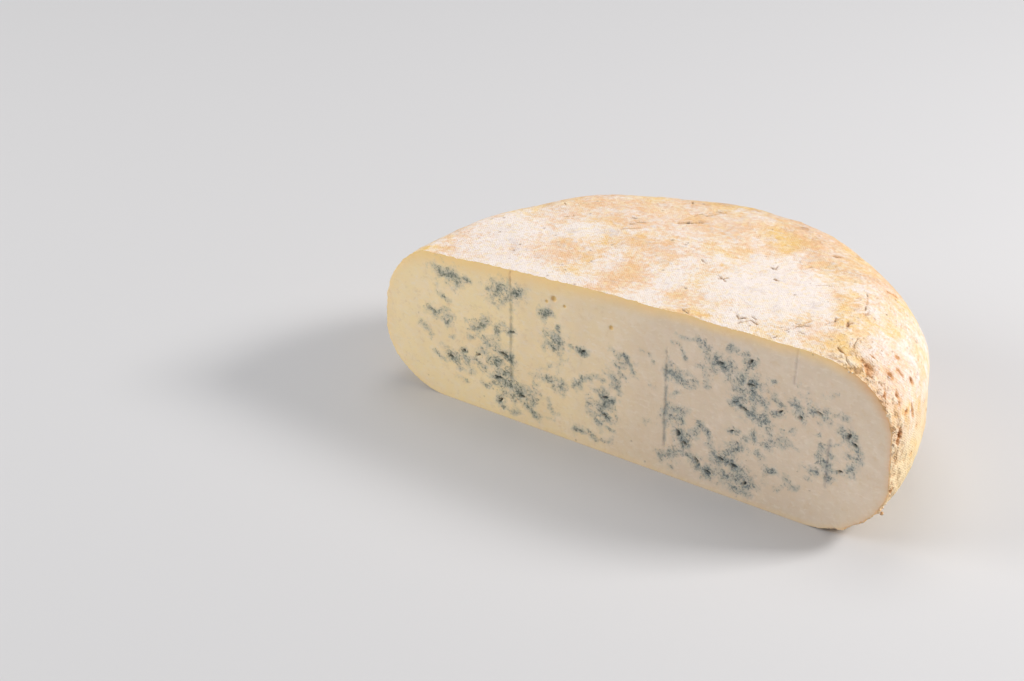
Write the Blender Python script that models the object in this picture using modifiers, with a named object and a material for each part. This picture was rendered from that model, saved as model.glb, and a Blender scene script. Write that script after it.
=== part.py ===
"""Half a wheel of blue-veined mountain cheese, cut through its middle and resting on its base.

The wheel is turned from its outline, settled out of true as a drained curd wheel is, and closed by
the flat cut. Cavities in the rind, and needle channels, eyes and mould pockets in the cut, are then
taken out of it. It is one solid.

Run with: blender --background --python part.py
Metres, +Z up. The origin is the middle of the underside's bounding box, the cut looks along -Y and
+X runs along the cut to its taller end. The modelling frame has the wheel's axis at X = Y = 0 and
the cut in the plane Y = 0, and the finished solid is shifted from there to the origin.
"""
import math
import random

import bmesh
import bpy
import numpy as np
from mathutils import Matrix, Vector, noise
from mathutils.bvhtree import BVHTree

MM = 0.001

# The whole wheel
RADIUS = 160 * MM
HEIGHT = 101 * MM                 # on the axis
CROWN = 4.7 * MM                  # the top is this much lower at the rim than on the axis
RISE = 0.061                      # the top rises by this share of the run towards +X
OVAL = 0.006                      # the radius is this share larger along the cut, and smaller across it

# Rounded edges as (width along the face, height down the side), at the cut's +X end and -X end
TOP_EDGE_RIGHT = (41 * MM, 38 * MM)
TOP_EDGE_LEFT = (30 * MM, 46 * MM)
BASE_EDGE_RIGHT = (51 * MM, 41 * MM)
BASE_EDGE_LEFT = (40 * MM, 44 * MM)
TOP_EDGE = (36 * MM, 42 * MM)     # as turned, before the wheel settles
BASE_EDGE = (45 * MM, 42 * MM)

# Facets
HALF_TURN_STEPS = 80
TOP_RINGS = 12
EDGE_STEPS = 9
SIDE_STEPS = 3

# Low lumps that draining and turning leave in the rind, as (length, depth)
LUMPS = (52 * MM, 1.5 * MM)
RIPPLES = (24 * MM, 0.7 * MM)
FLAT_BASE = 12 * MM               # the relief fades out over this height above the base

# The tables below are in millimetres and degrees, in the modelling frame

# Broad dents in the rind, as (place, reach, depth)
DENTS = (
    ((66, 117, 99), 30, 2.4),
    ((-134, 27, 88), 20, 1.4),
    ((-70, 140, 70), 26, 2.0),
    ((60, 148, 34), 24, 1.8),
)

# Cavities and cracks in the rind, as (rough place, length, width, depth, turn)
CAVITIES = (
    ((161, 7, 68), 10, 5.0, 2.4, 84),
    ((139, 12, 101), 9, 3.0, 1.4, -12),
    ((143, 34, 96), 4.4, 3.6, 1.2, 0),
    ((147, 20, 95), 5, 3.0, 1.2, 70),
    ((149, 28, 92), 5, 3.0, 1.2, 80),
    ((155, 15, 86), 7, 3.2, 1.4, 60),
    ((158, 27, 73), 7, 2.4, 1.2, 86),
    ((110, 91, 97), 6, 3.4, 1.5, 35),
    ((67, 105, 102), 5, 3.0, 1.2, 20),
    ((92, 19, 105), 8, 2.2, 1.1, 30),
    ((-23, 97, 98), 12, 2.4, 1.3, 38),
    ((-16, 114, 98), 13, 2.0, 1.2, 48),
)

# Smaller pits, strewn by angle round the side and the shoulder
PIT_COUNT = 16
PIT_ANGLES = (14, 172)            # from +X
PIT_HEIGHTS = (28, 98)
PIT_LENGTHS = (3.0, 6.0)
PIT_WIDTHS = (0.4, 0.8)           # as shares of the length
PIT_DEPTH = 0.25                  # as a share of the length
PIT_SEED = 27

# Grooves where the knife opened the channels of the steel needles that let air in, as the
# (x, z) of the upper end and of the lower end
NEEDLE_RADIUS = 0.9
NEEDLES = (
    ((-76.5, 101), (-75.5, 75)),
    ((24.8, 79), (24.2, 18)),
    ((104.0, 108), (102.6, 84)),
    ((124.6, 56), (123.8, 31)),
)

# Round eyes in the cut, as (x, z, radius)
EYES = (
    (-48, 86, 2.2),
    (-41, 83.5, 1.6),
    (-11, 80, 1.7),
)
EYE_SHIFT = 0.2                   # a middle lies this share of the radius behind the cut

# Open pockets of blue mould in the cut, as (x, z, length, thickness, tilt)
POCKET_DEPTH = 1.6
POCKETS = (
    (-29, 59, 4.4, 2.4, 20),
    (-15, 35, 6.0, 2.2, 50),
    (-12, 27, 4.6, 2.0, -10),
    (33, 29, 5.0, 2.4, -70),
    (37, 24, 3.6, 2.0, -30),
    (58, 81, 5.2, 2.4, -10),
    (76, 88, 4.6, 1.8, 55),
    (77, 74, 6.0, 1.9, 4),
    (73, 58, 6.4, 2.2, -14),
    (107, 64.5, 2.6, 2.2, 0),
    (95, 64, 4.0, 1.6, 35),
    (118, 71, 5.4, 1.6, -20),
    (136, 63, 4.4, 2.8, 60),
    (140, 59, 4.0, 1.8, -25),
    (132, 40, 3.4, 2.2, 5),
    (66, 42, 3.0, 1.3, 20),
    (45, 16, 6.0, 1.9, -42),
    (52, 11, 5.0, 2.0, -15),
    (60, 22, 4.6, 2.0, -28),
    (68, 20.5, 6.4, 2.8, -10),
    (75, 12, 4.0, 2.0, 60),
)

# A rind hollow is the lower part of an egg, this share of whose half height is under the surface
EGG_SUNK = 0.55
TOP_FACING = 0.8                  # a hollow is on top of the wheel where the normal's Z is over this

RIND_COLOUR = (0.80, 0.60, 0.36, 1)
CAVITY_COLOUR = (0.52, 0.28, 0.12, 1)
PASTE_COLOUR = (0.82, 0.72, 0.50, 1)
MOULD_COLOUR = (0.12, 0.17, 0.19, 1)
SMOOTH_BELOW = 35                 # an edge that bends by more than this is sharp


def clear_scene():
    for obj in list(bpy.data.objects):
        bpy.data.objects.remove(obj, do_unlink=True)


def collection(name):
    made = bpy.data.collections.new(name)
    bpy.context.scene.collection.children.link(made)
    return made


def material(name, colour, roughness):
    made = bpy.data.materials.new(name)
    made.use_nodes = True
    shader = made.node_tree.nodes["Principled BSDF"]
    shader.inputs["Base Color"].default_value = colour
    shader.inputs["Roughness"].default_value = roughness
    return made


def quarter_ellipse(steps, centre, width, height, start):
    """Points after the first of a quarter ellipse, as (radius, height), turning clockwise from start."""
    points = []
    for i in range(1, steps + 1):
        angle = start - math.pi / 2 * i / steps
        points.append((centre[0] + width * math.cos(angle), centre[1] + height * math.sin(angle)))
    return points


def turned_outline():
    """The wheel's half outline as (radius, height), from the top's middle down the side to the base's middle."""
    top_flat = RADIUS - TOP_EDGE[0]
    base_flat = RADIUS - BASE_EDGE[0]
    side_top = HEIGHT - TOP_EDGE[1]
    outline = [(top_flat * i / TOP_RINGS, HEIGHT) for i in range(TOP_RINGS + 1)]
    outline += quarter_ellipse(EDGE_STEPS, (top_flat, side_top), *TOP_EDGE, math.pi / 2)
    for i in range(1, SIDE_STEPS + 1):
        outline.append((RADIUS, side_top + (BASE_EDGE[1] - side_top) * i / SIDE_STEPS))
    outline += quarter_ellipse(EDGE_STEPS, (base_flat, BASE_EDGE[1]), *BASE_EDGE, 0.0)
    outline.append((0.0, 0.0))
    return outline


def turned_half():
    """The outline turned through half a circle: an open shell whose rim lies in the plane of the cut."""
    outline = turned_outline()
    mesh = bpy.data.meshes.new("outline")
    mesh.from_pydata([(r, 0.0, z) for r, z in outline], [(i, i + 1) for i in range(len(outline) - 1)], [])
    obj = bpy.data.objects.new("outline", mesh)
    bpy.context.scene.collection.objects.link(obj)
    screw = obj.modifiers.new("turn", "SCREW")
    screw.angle = math.pi
    screw.steps = screw.render_steps = HALF_TURN_STEPS
    screw.use_merge_vertices = True
    screw.merge_threshold = 1e-5
    graph = bpy.context.evaluated_depsgraph_get()
    turned = bpy.data.meshes.new_from_object(obj.evaluated_get(graph))
    bpy.data.objects.remove(obj, do_unlink=True)
    return turned


def mixed(left, right, share):
    """Between two (width, height) pairs: left at share 0 and right at share 1."""
    return tuple(a + (b - a) * share for a, b in zip(left, right))


def settled(point):
    """Where a point of the turned wheel ends up once the wheel has sunk unevenly."""
    radius = math.hypot(point.x, point.y)
    angle = math.atan2(point.y, point.x)
    towards_right = 0.5 + 0.5 * math.cos(angle)
    top = mixed(TOP_EDGE_LEFT, TOP_EDGE_RIGHT, towards_right)
    base = mixed(BASE_EDGE_LEFT, BASE_EDGE_RIGHT, towards_right)
    turned, local = (TOP_EDGE, top) if point.z > HEIGHT / 2 else (BASE_EDGE, base)
    r = np.interp(radius, (0, RADIUS - turned[0], RADIUS), (0, RADIUS - local[0], RADIUS))
    z = np.interp(point.z, (0, BASE_EDGE[1], HEIGHT - TOP_EDGE[1], HEIGHT), (0, base[1], HEIGHT - top[1], HEIGHT))
    r *= 1 + OVAL * math.cos(2 * angle)
    x, y = r * math.cos(angle), r * math.sin(angle)
    return Vector((x, y, z * (1 + (RISE * x - CROWN * (r / RADIUS) ** 2) / HEIGHT)))


def relief(point):
    """How far the rind stands out of, or dips under, the settled shape."""
    fade = min(1.0, point.z / FLAT_BASE)
    height = LUMPS[1] * noise.noise(point / LUMPS[0]) + RIPPLES[1] * noise.noise(point / RIPPLES[0])
    for place, reach, depth in DENTS:
        run = (point - Vector(place) * MM).length / (reach * MM)
        height -= depth * MM * math.exp(-run * run)
    return height * fade * fade * (3 - 2 * fade)


def half_wheel_body():
    """The half wheel before anything is taken out of it, as a bmesh. The base and the cut are one face each."""
    body = bmesh.new()
    body.from_mesh(turned_half())
    bmesh.ops.remove_doubles(body, verts=body.verts, dist=1e-6)
    for vert in body.verts:
        vert.co = settled(vert.co)
    body.normal_update()
    rim = {v for edge in body.edges if edge.is_boundary for v in edge.verts}
    moves = {vert: vert.normal * relief(vert.co) for vert in body.verts}
    for vert, move in moves.items():
        vert.co += move
        if vert in rim:
            vert.co.y = 0.0
    bmesh.ops.contextual_create(body, geom=[edge for edge in body.edges if edge.is_boundary])
    bmesh.ops.recalc_face_normals(body, faces=body.faces)
    base = [face for face in body.faces if all(abs(v.co.z) < 1e-6 for v in face.verts)]
    bmesh.ops.dissolve_faces(body, faces=base)
    return body


def add_cutter(cutters, name, solid, matrix, paint):
    """Shapes and places a solid, given as a bmesh, that takes a hollow out of the cheese."""
    solid.transform(matrix)
    mesh = bpy.data.meshes.new(name)
    solid.to_mesh(mesh)
    solid.free()
    mesh.materials.append(paint)
    obj = bpy.data.objects.new(name, mesh)
    obj.hide_render = True
    obj.display_type = "WIRE"
    cutters.objects.link(obj)


def ball(subdivisions):
    """A faceted ball of radius 1."""
    solid = bmesh.new()
    bmesh.ops.create_icosphere(solid, subdivisions=subdivisions, radius=1.0)
    return solid


def rod(radius, length):
    """An eight-sided rod about Z with its middle at the origin."""
    solid = bmesh.new()
    bmesh.ops.create_cone(solid, cap_ends=True, segments=8, radius1=radius, radius2=radius, depth=length)
    return solid


def rind_hollow(tree, place, length, width, depth, turn):
    """The matrix that makes a ball of radius 1 an egg, sunk into the rind where that is nearest to place.

    The egg's length is turned from +X on top of the wheel, and from level on its side.
    """
    spot, normal, _, _ = tree.find_nearest(Vector(place) * MM)
    level = Vector((1, 0, 0)) if normal.z > TOP_FACING else Vector((0, 0, 1)).cross(normal)
    across = normal.cross(level).normalized()
    facing = Matrix((across.cross(normal), across, normal)).transposed().to_4x4()
    half_height = depth * MM / EGG_SUNK
    widening = 1 / math.sqrt(1 - (1 - EGG_SUNK) ** 2)
    centre = Matrix.Translation(spot + normal * half_height * (1 - EGG_SUNK))
    size = Matrix.Diagonal((widening * length * MM / 2, widening * width * MM / 2, half_height, 1))
    return centre @ facing @ Matrix.Rotation(math.radians(turn), 4, "Z") @ size


def add_rind_hollows(cutters, tree, paint):
    for i, cavity in enumerate(CAVITIES):
        add_cutter(cutters, f"cavity_{i}", ball(2), rind_hollow(tree, *cavity), paint)
    rng = random.Random(PIT_SEED)
    for i in range(PIT_COUNT):
        share = (i + rng.uniform(0.1, 0.9)) / PIT_COUNT
        angle = math.radians(PIT_ANGLES[0] + (PIT_ANGLES[1] - PIT_ANGLES[0]) * share)
        side = RADIUS / MM
        place = (side * math.cos(angle), side * math.sin(angle), rng.uniform(*PIT_HEIGHTS))
        length = rng.uniform(*PIT_LENGTHS)
        width = length * rng.uniform(*PIT_WIDTHS)
        matrix = rind_hollow(tree, place, length, width, PIT_DEPTH * length, rng.uniform(0, 180))
        add_cutter(cutters, f"pit_{i}", ball(1), matrix, paint)


def add_pockets(cutters, paint):
    for i, (x, z, length, thickness, tilt) in enumerate(POCKETS):
        place = Matrix.Translation(Vector((x, 0, z)) * MM)
        turn = Matrix.Rotation(math.radians(-tilt), 4, "Y")
        size = Matrix.Diagonal((length * MM / 2, POCKET_DEPTH * MM, thickness * MM / 2, 1))
        add_cutter(cutters, f"pocket_{i}", ball(1), place @ turn @ size, paint)


def add_eyes(cutters, paint):
    for i, (x, z, radius) in enumerate(EYES):
        place = Matrix.Translation(Vector((x, EYE_SHIFT * radius, z)) * MM)
        add_cutter(cutters, f"eye_{i}", ball(2), place @ Matrix.Scale(radius * MM, 4), paint)


def add_needle_channels(cutters, paint):
    for i, (upper, lower) in enumerate(NEEDLES):
        top = Vector((upper[0], 0, upper[1])) * MM
        foot = Vector((lower[0], 0, lower[1])) * MM
        along = top - foot
        place = Matrix.Translation((top + foot) / 2)
        turn = along.to_track_quat("Z", "Y").to_matrix().to_4x4()
        add_cutter(cutters, f"needle_{i}", rod(NEEDLE_RADIUS * MM, along.length), place @ turn, paint)


def hollowed(obj, cutters):
    """The object's mesh once every cutter has been taken out of it."""
    cut = obj.modifiers.new("hollows", "BOOLEAN")
    cut.operation = "DIFFERENCE"
    cut.operand_type = "COLLECTION"
    cut.collection = cutters
    cut.solver = "EXACT"
    cut.material_mode = "TRANSFER"
    graph = bpy.context.evaluated_depsgraph_get()
    mesh = bpy.data.meshes.new_from_object(obj.evaluated_get(graph))
    obj.modifiers.remove(cut)
    return mesh


def stand_on_origin(mesh):
    """Shifts the mesh so that the middle of its underside's bounding box is the origin."""
    corners = np.array([vert.co for vert in mesh.vertices])
    low, high = corners.min(axis=0), corners.max(axis=0)
    mesh.transform(Matrix.Translation((-(low[0] + high[0]) / 2, -(low[1] + high[1]) / 2, -low[2])))


def main():
    clear_scene()
    cheese = collection("blue_cheese_half_wheel")
    cutters = collection("hollows")
    rind = material("rind", RIND_COLOUR, 0.85)
    paste = material("paste", PASTE_COLOUR, 0.55)
    cavity = material("rind_cavity", CAVITY_COLOUR, 0.9)
    mould = material("blue_mould", MOULD_COLOUR, 0.8)

    body = half_wheel_body()
    tree = BVHTree.FromBMesh(body)
    for face in body.faces:
        in_cut = face.normal.y < -0.99
        face.material_index = 1 if in_cut else 0
        face.smooth = not in_cut
    mesh = bpy.data.meshes.new("half_wheel")
    body.to_mesh(mesh)
    body.free()
    for paint in (rind, paste, cavity, mould):
        mesh.materials.append(paint)
    half_wheel = bpy.data.objects.new("half_wheel", mesh)
    cheese.objects.link(half_wheel)

    add_rind_hollows(cutters, tree, cavity)
    add_pockets(cutters, mould)
    add_eyes(cutters, paste)
    add_needle_channels(cutters, mould)
    half_wheel.data = hollowed(half_wheel, cutters)
    for obj in list(cutters.objects):
        bpy.data.objects.remove(obj, do_unlink=True)
    half_wheel.data.set_sharp_from_angle(angle=math.radians(SMOOTH_BELOW))
    stand_on_origin(half_wheel.data)


main()
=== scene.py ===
"""The looks of a half wheel of blue-veined cheese: its rind, its cut face, its crumbs and the studio.

Shapes are worked out in millimetres in the wheel's own frame, whose axis is X = Y = 0 and whose cut
is the plane Y = 0, by the rule that turned and settled the solid. They are then shifted into the
solid's box, in metres.
"""

import math
import random

import bpy
import numpy as np
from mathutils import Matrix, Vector, kdtree, noise
from mathutils.geometry import delaunay_2d_cdt


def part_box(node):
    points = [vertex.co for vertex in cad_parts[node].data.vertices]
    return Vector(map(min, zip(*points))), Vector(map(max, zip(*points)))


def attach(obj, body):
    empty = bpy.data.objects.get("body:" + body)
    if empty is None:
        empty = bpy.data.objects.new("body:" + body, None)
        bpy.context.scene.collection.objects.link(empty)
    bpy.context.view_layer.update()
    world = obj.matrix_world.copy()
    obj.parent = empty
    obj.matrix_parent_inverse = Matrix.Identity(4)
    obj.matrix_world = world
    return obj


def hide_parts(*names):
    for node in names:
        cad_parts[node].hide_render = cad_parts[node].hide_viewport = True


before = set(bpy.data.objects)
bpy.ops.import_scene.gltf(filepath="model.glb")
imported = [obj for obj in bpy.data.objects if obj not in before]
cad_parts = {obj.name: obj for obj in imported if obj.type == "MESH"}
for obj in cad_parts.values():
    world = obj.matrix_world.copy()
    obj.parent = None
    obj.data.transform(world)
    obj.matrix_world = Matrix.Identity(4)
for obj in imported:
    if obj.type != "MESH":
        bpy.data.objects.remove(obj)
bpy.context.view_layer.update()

MM = 0.001

# The wheel, in millimetres, as the solid has it
RADIUS = 160
HEIGHT = 101
CROWN = 4.7                       # how far the top's rim is lower than its middle
RISE = 0.061                      # slope of the top towards the right end
OVAL = 0.006
TOP_EDGE = (36, 42)               # width and height of each rounded edge, as turned
BASE_EDGE = (45, 42)
TOP_EDGE_RIGHT = (41, 38)         # and once the wheel has settled
TOP_EDGE_LEFT = (30, 46)
BASE_EDGE_RIGHT = (51, 41)
BASE_EDGE_LEFT = (40, 44)
LUMPS = (52, 1.5)                 # the size and height of broad lumps, and of finer ones
RIPPLES = (24, 0.7)
FLAT_BASE = 12                    # lumps, dents and creases fade out below this height

# Broad dents, as (place, reach, depth)
DENTS = (
    ((66, 117, 99), 30, 2.4), ((-134, 27, 88), 20, 1.4), ((-70, 140, 70), 26, 2), ((60, 148, 34), 24, 1.8),
)

# Mesh spacing, in millimetres
RIND_STEP = 1.72
CRUST_STEP = 0.95                 # near the cut's right end
OUTLINE_STEP = 0.65
HOLLOW_STEP = 0.55
CUT_STEP = 0.95
BASE_STEP = 5.0
BASE_EDGE_STEP = 2.4
BASE_LINE_STEP = 1.3
RIM_ZONE = 2.6                    # how far the cut's mesh is finer beside the rind
CLEARANCE = 0.3 * HOLLOW_STEP     # between a fine patch and the points around it
ROW_SHARE = 0.87                  # how far rows of points are apart, as a share of their step
HOLLOW_MARGIN = 1.6               # fine mesh reaches this far round a cavity in the rind,
POCKET_MARGIN = 0.9               # round an open pocket,
EYE_MARGIN = 0.8                  # round an eye
NEEDLE_MARGIN = 1.1               # and to each side of a needle channel's line
RIND_SEED, CUT_SEED, BASE_SEED = 5, 8, 11

# Parts of the rind, by the run down its outline from the top's middle, in millimetres
CRACKS_END = 150                  # the cracks in the top don't reach past here
TOP_END = 165                     # and the mesh isn't refined for them past here
TOP_RUNS = np.linspace(0, 170, 86)
SIDE_START, SIDE_FADE = 108, 34   # where the side begins, and over how much it takes hold
CRUST_RUNS = (112, 236)
CRUST_ANGLE = math.radians(17)
STRIP_ROWS = ((0.6, 0.75), (1.25, 0.9), (2.1, 1.1), (3.1, 1.3))   # beside the cut: distance and step
STRIP_WIDTH = 3.7

# Cavities in the rind, as (rough place, length, width, depth, turn in degrees)
CAVITIES = (
    ((161, 7, 68), 10, 5, 2.8, 84), ((139, 12, 101), 9, 3, 1.8, -12), ((143, 34, 96), 4.4, 3.6, 1.6, 0),
    ((147, 20, 95), 5, 3, 1.6, 70), ((149, 28, 92), 5, 3, 1.6, 80), ((155, 15, 86), 7, 3.2, 1.6, 60),
    ((158, 27, 73), 7, 2.4, 1.5, 86), ((110, 91, 97), 6, 3.4, 1.9, 35), ((67, 105, 102), 5, 3, 1.5, 20),
    ((92, 19, 105), 8, 1.6, 1.2, 30), ((-23, 97, 98), 12, 2.4, 1.5, 38), ((-16, 114, 98), 13, 1.4, 1.3, 48),
    ((142, 8, 100), 7, 2, 1.4, -30), ((30, 46, 103), 3.4, 2, 1.1, -30), ((48, 72, 103), 4.2, 2.2, 1.1, 20),
    ((55, 60, 104), 3, 1.6, 0.9, 0), ((87, 4, 107), 3.4, 1.8, 1, 60), ((63, 12, 106), 4.6, 1.8, 0.9, 10),
    ((113, 36, 106), 3.8, 2.4, 1.2, 80), ((114, 52, 105), 3.4, 2.2, 1.1, 70),
    ((97, 14, 107), 5, 1, 0.9, -10), ((108, 65, 104), 7, 1, 0.8, 115), ((18, 27, 103), 2, 1.4, 0.8, 0),
    ((-48, 79, 96), 7, 1.2, 0.9, 20), ((-52, 86, 96), 6, 1.2, 0.8, 15), ((160, 3, 37), 5, 2.6, 1.4, 80),
    ((136, 20, 102), 4, 1.4, 1, 10), ((151, 6, 91), 4, 1.8, 1.2, 40),
)

PIT_COUNT = 34                    # smaller ones, strewn by a rule
PIT_SEED = 27

# Fine cracks in the top of the rind, as (half width, depth, then the x and y of its points)
CRACKS = (
    (0.6, 1, (-27, 104), (-24, 110), (-20, 113), (-17, 118), (-12, 119)),
    (1.3, 1.3, (-27, 93), (-23, 95), (-21, 98), (-17, 101)), (0.7, 0.7, (-50, 70), (-45, 73), (-41, 76)),
    (0.6, 0.6, (-48, 82), (-43, 84)), (0.6, 0.6, (-37, 124), (-35, 121)),
    (0.6, 0.8, (44, 73), (48, 71), (47, 76)), (0.5, 0.6, (53, 61), (57, 60)),
    (0.6, 0.8, (26, 48), (30, 46), (33, 44)), (0.7, 0.9, (28, 45), (32, 48)),
    (0.6, 1, (87, 11), (91, 16), (92, 22), (95, 26)), (0.6, 0.9, (90, 21), (97, 22)),
    (0.5, 0.8, (82, 12), (87, 15)), (0.6, 0.9, (58, 14), (62, 10), (64, 13)),
    (0.6, 0.9, (63, 7), (68, 12), (73, 10)), (0.5, 0.8, (66, 16), (70, 14)), (0.9, 1, (111, 38), (114, 33)),
    (0.6, 0.8, (103, 29), (106, 34), (104, 38)), (0.5, 0.5, (103, 74), (105, 71)),
    (0.6, 0.5, (110, 60), (112, 56)), (0.6, 0.9, (120, 12), (126, 9), (131, 4)),
    (0.6, 0.8, (126, 18), (124, 26)), (0.6, 0.7, (-128, 30), (-126, 34)), (0.5, 0.6, (-99, 87), (-96, 84)),
    (0.5, 0.6, (62, 86), (60, 80)), (0.6, 0.8, (30, 5), (36, 2)), (0.6, 0.7, (-84, 74), (-88, 70)),
    (0.5, 0.6, (8, 60), (13, 57)), (0.6, 0.7, (76, 66), (80, 70), (84, 70)),
)
CRACK_REACH = 1.5                 # the mesh is fine this near a crack

FOLD_SCALE = math.pi * RADIUS / 180           # millimetres along the side for each degree

# Creases that the folds of a cloth left in the side, as (half width, height, then the angle and z of
# its points)
FOLDS = (
    (5, 0.6, (80, 94), (75, 80), (72, 62), (70, 46)), (3.4, 0.5, (71, 50), (68, 34), (67, 20)),
    (3.6, 0.5, (74, 78), (84, 70), (97, 58), (108, 38), (112, 24)),
    (4.6, 0.5, (112, 92), (124, 78), (140, 70), (156, 66)), (4, 0.5, (133, 18), (135, 40), (131, 62)),
)


def quarter_ellipse(count, centre, size, start):
    turn = np.radians(start - 90 * np.arange(1, count + 1) / count)
    return np.stack([centre[0] + size[0] * np.cos(turn), centre[1] + size[1] * np.sin(turn)], 1)


def outline_rule(count=90):
    """The turned wheel's outline from the top's middle to the base's flat: run, radius and height."""
    top_flat = RADIUS - TOP_EDGE[0]
    base_flat = RADIUS - BASE_EDGE[0]
    side_top = HEIGHT - TOP_EDGE[1]
    start = np.array([(0, HEIGHT), (top_flat, HEIGHT)], float)
    upper = quarter_ellipse(count, (top_flat, side_top), TOP_EDGE, 90)
    side = np.array([(RADIUS, BASE_EDGE[1])], float)
    lower = quarter_ellipse(count, (base_flat, BASE_EDGE[1]), BASE_EDGE, 0)
    points = np.concatenate([start, upper, side, lower])
    run = np.concatenate([[0], np.cumsum(np.linalg.norm(np.diff(points, axis=0), axis=1))])
    return run, points[:, 0], points[:, 1]


RUN, RUN_RADIUS, RUN_HEIGHT = outline_rule()
FULL_RUN = RUN[-1]
FINE_RUNS = np.linspace(0, FULL_RUN, 1200)
NUDGE_RUN, NUDGE_ANGLE = 0.5, 0.003       # small steps along the rind, for finding its slope


def settled(run, angle):
    """Points of the settled wheel, at a run down its outline and an angle from +X, as rows of x, y, z."""
    radius = np.interp(run, RUN, RUN_RADIUS)
    height = np.interp(run, RUN, RUN_HEIGHT)
    right = 0.5 + 0.5 * np.cos(angle)
    top_width, top_height = (a + (b - a) * right for a, b in zip(TOP_EDGE_LEFT, TOP_EDGE_RIGHT))
    base_width, base_height = (a + (b - a) * right for a, b in zip(BASE_EDGE_LEFT, BASE_EDGE_RIGHT))
    upper = height > HEIGHT / 2
    turned_width = np.where(upper, TOP_EDGE[0], BASE_EDGE[0])
    width = np.where(upper, top_width, base_width)
    flat = radius <= RADIUS - turned_width
    inner = radius * (RADIUS - width) / (RADIUS - turned_width)
    outer = RADIUS - width + (radius - RADIUS + turned_width) * width / turned_width
    radius = np.where(flat, inner, outer)
    low = height <= BASE_EDGE[1]
    high = height >= HEIGHT - TOP_EDGE[1]
    side_share = (height - BASE_EDGE[1]) / (HEIGHT - TOP_EDGE[1] - BASE_EDGE[1])
    middle = base_height + (HEIGHT - top_height - base_height) * side_share
    top = HEIGHT - top_height + (height - HEIGHT + TOP_EDGE[1]) * top_height / TOP_EDGE[1]
    height = np.where(low, height * base_height / BASE_EDGE[1], np.where(high, top, middle))
    radius = radius * (1 + OVAL * np.cos(2 * angle))
    x = radius * np.cos(angle)
    y = radius * np.sin(angle)
    z = height * (1 + (RISE * x - CROWN * (radius / RADIUS) ** 2) / HEIGHT)
    return np.stack([x, y, z], 1)


def noise_at(points, size, shift=(0, 0, 0)):
    """Smooth noise between -1 and 1 at each point, with lumps about as long as size."""
    scaled = points / size + np.array(shift, float)
    return np.array([noise.noise(Vector(row)) for row in scaled.tolist()])


def relief(points):
    """How far the rind stands out of the settled shape, before its fine grain."""
    fade = np.clip(points[:, 2] / FLAT_BASE, 0, 1)
    height = LUMPS[1] * noise_at(points, LUMPS[0]) + RIPPLES[1] * noise_at(points, RIPPLES[0])
    for place, reach, depth in DENTS:
        run = np.linalg.norm(points - place, axis=1) / reach
        height -= depth * np.exp(-run ** 2)
    return height * fade * fade * (3 - 2 * fade)


# Needle channels that show in the cut, as (x and z of the upper end, x and z of the lower end, mould)
NEEDLES = (
    ((-76.4, 97.5), (-75.6, 22), 0.6), ((24.8, 79), (24.2, 18), 0.8), ((104, 105), (102.6, 84), 0.2),
    ((125.2, 57), (123.8, 28), 0.5),
)
NEEDLE_RADIUS = 0.7
NEEDLE_DEPTH = 0.25
NEEDLE_FAR = 9.0                  # stands for any distance farther than this

# Round eyes in the cut, as (x, z, radius)
EYES = (
    (-48, 86, 2.2), (-52.6, 83, 1.3), (-41, 83.5, 1.2), (-11, 80, 1.7),
)
EYE_SHIFT = -0.5

# Open pockets of mould in the cut, as (x, z, length, thickness, tilt in degrees)
POCKET_DEPTH = 1.6
POCKETS = (
    (-29, 59, 4.4, 2.4, 20), (-14, 35, 5, 1.5, 15), (-14, 24, 3.2, 1.5, -10), (33, 29, 5, 2.4, -70),
    (37, 24, 3.6, 2, -30), (58, 81, 5.2, 2.4, -10), (76, 88, 4.6, 1.8, 55), (77, 74, 6, 1.9, 4),
    (73, 58, 6.4, 2.2, -14), (107, 64.5, 2.6, 2.2, 0), (95, 64, 4, 1.6, 35), (118, 71, 5.4, 1.6, -20),
    (136, 63, 4.4, 2.8, 60), (140, 59, 4, 1.8, -25), (132, 40, 3.4, 2.2, 5), (66, 42, 3, 1.3, 20),
    (45, 16, 6, 1.9, -42), (52, 11, 5, 2, -15), (60, 22, 4.6, 2, -28), (68, 20.5, 6.4, 2.8, -10),
    (75, 12, 4, 2, 60),
)

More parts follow.
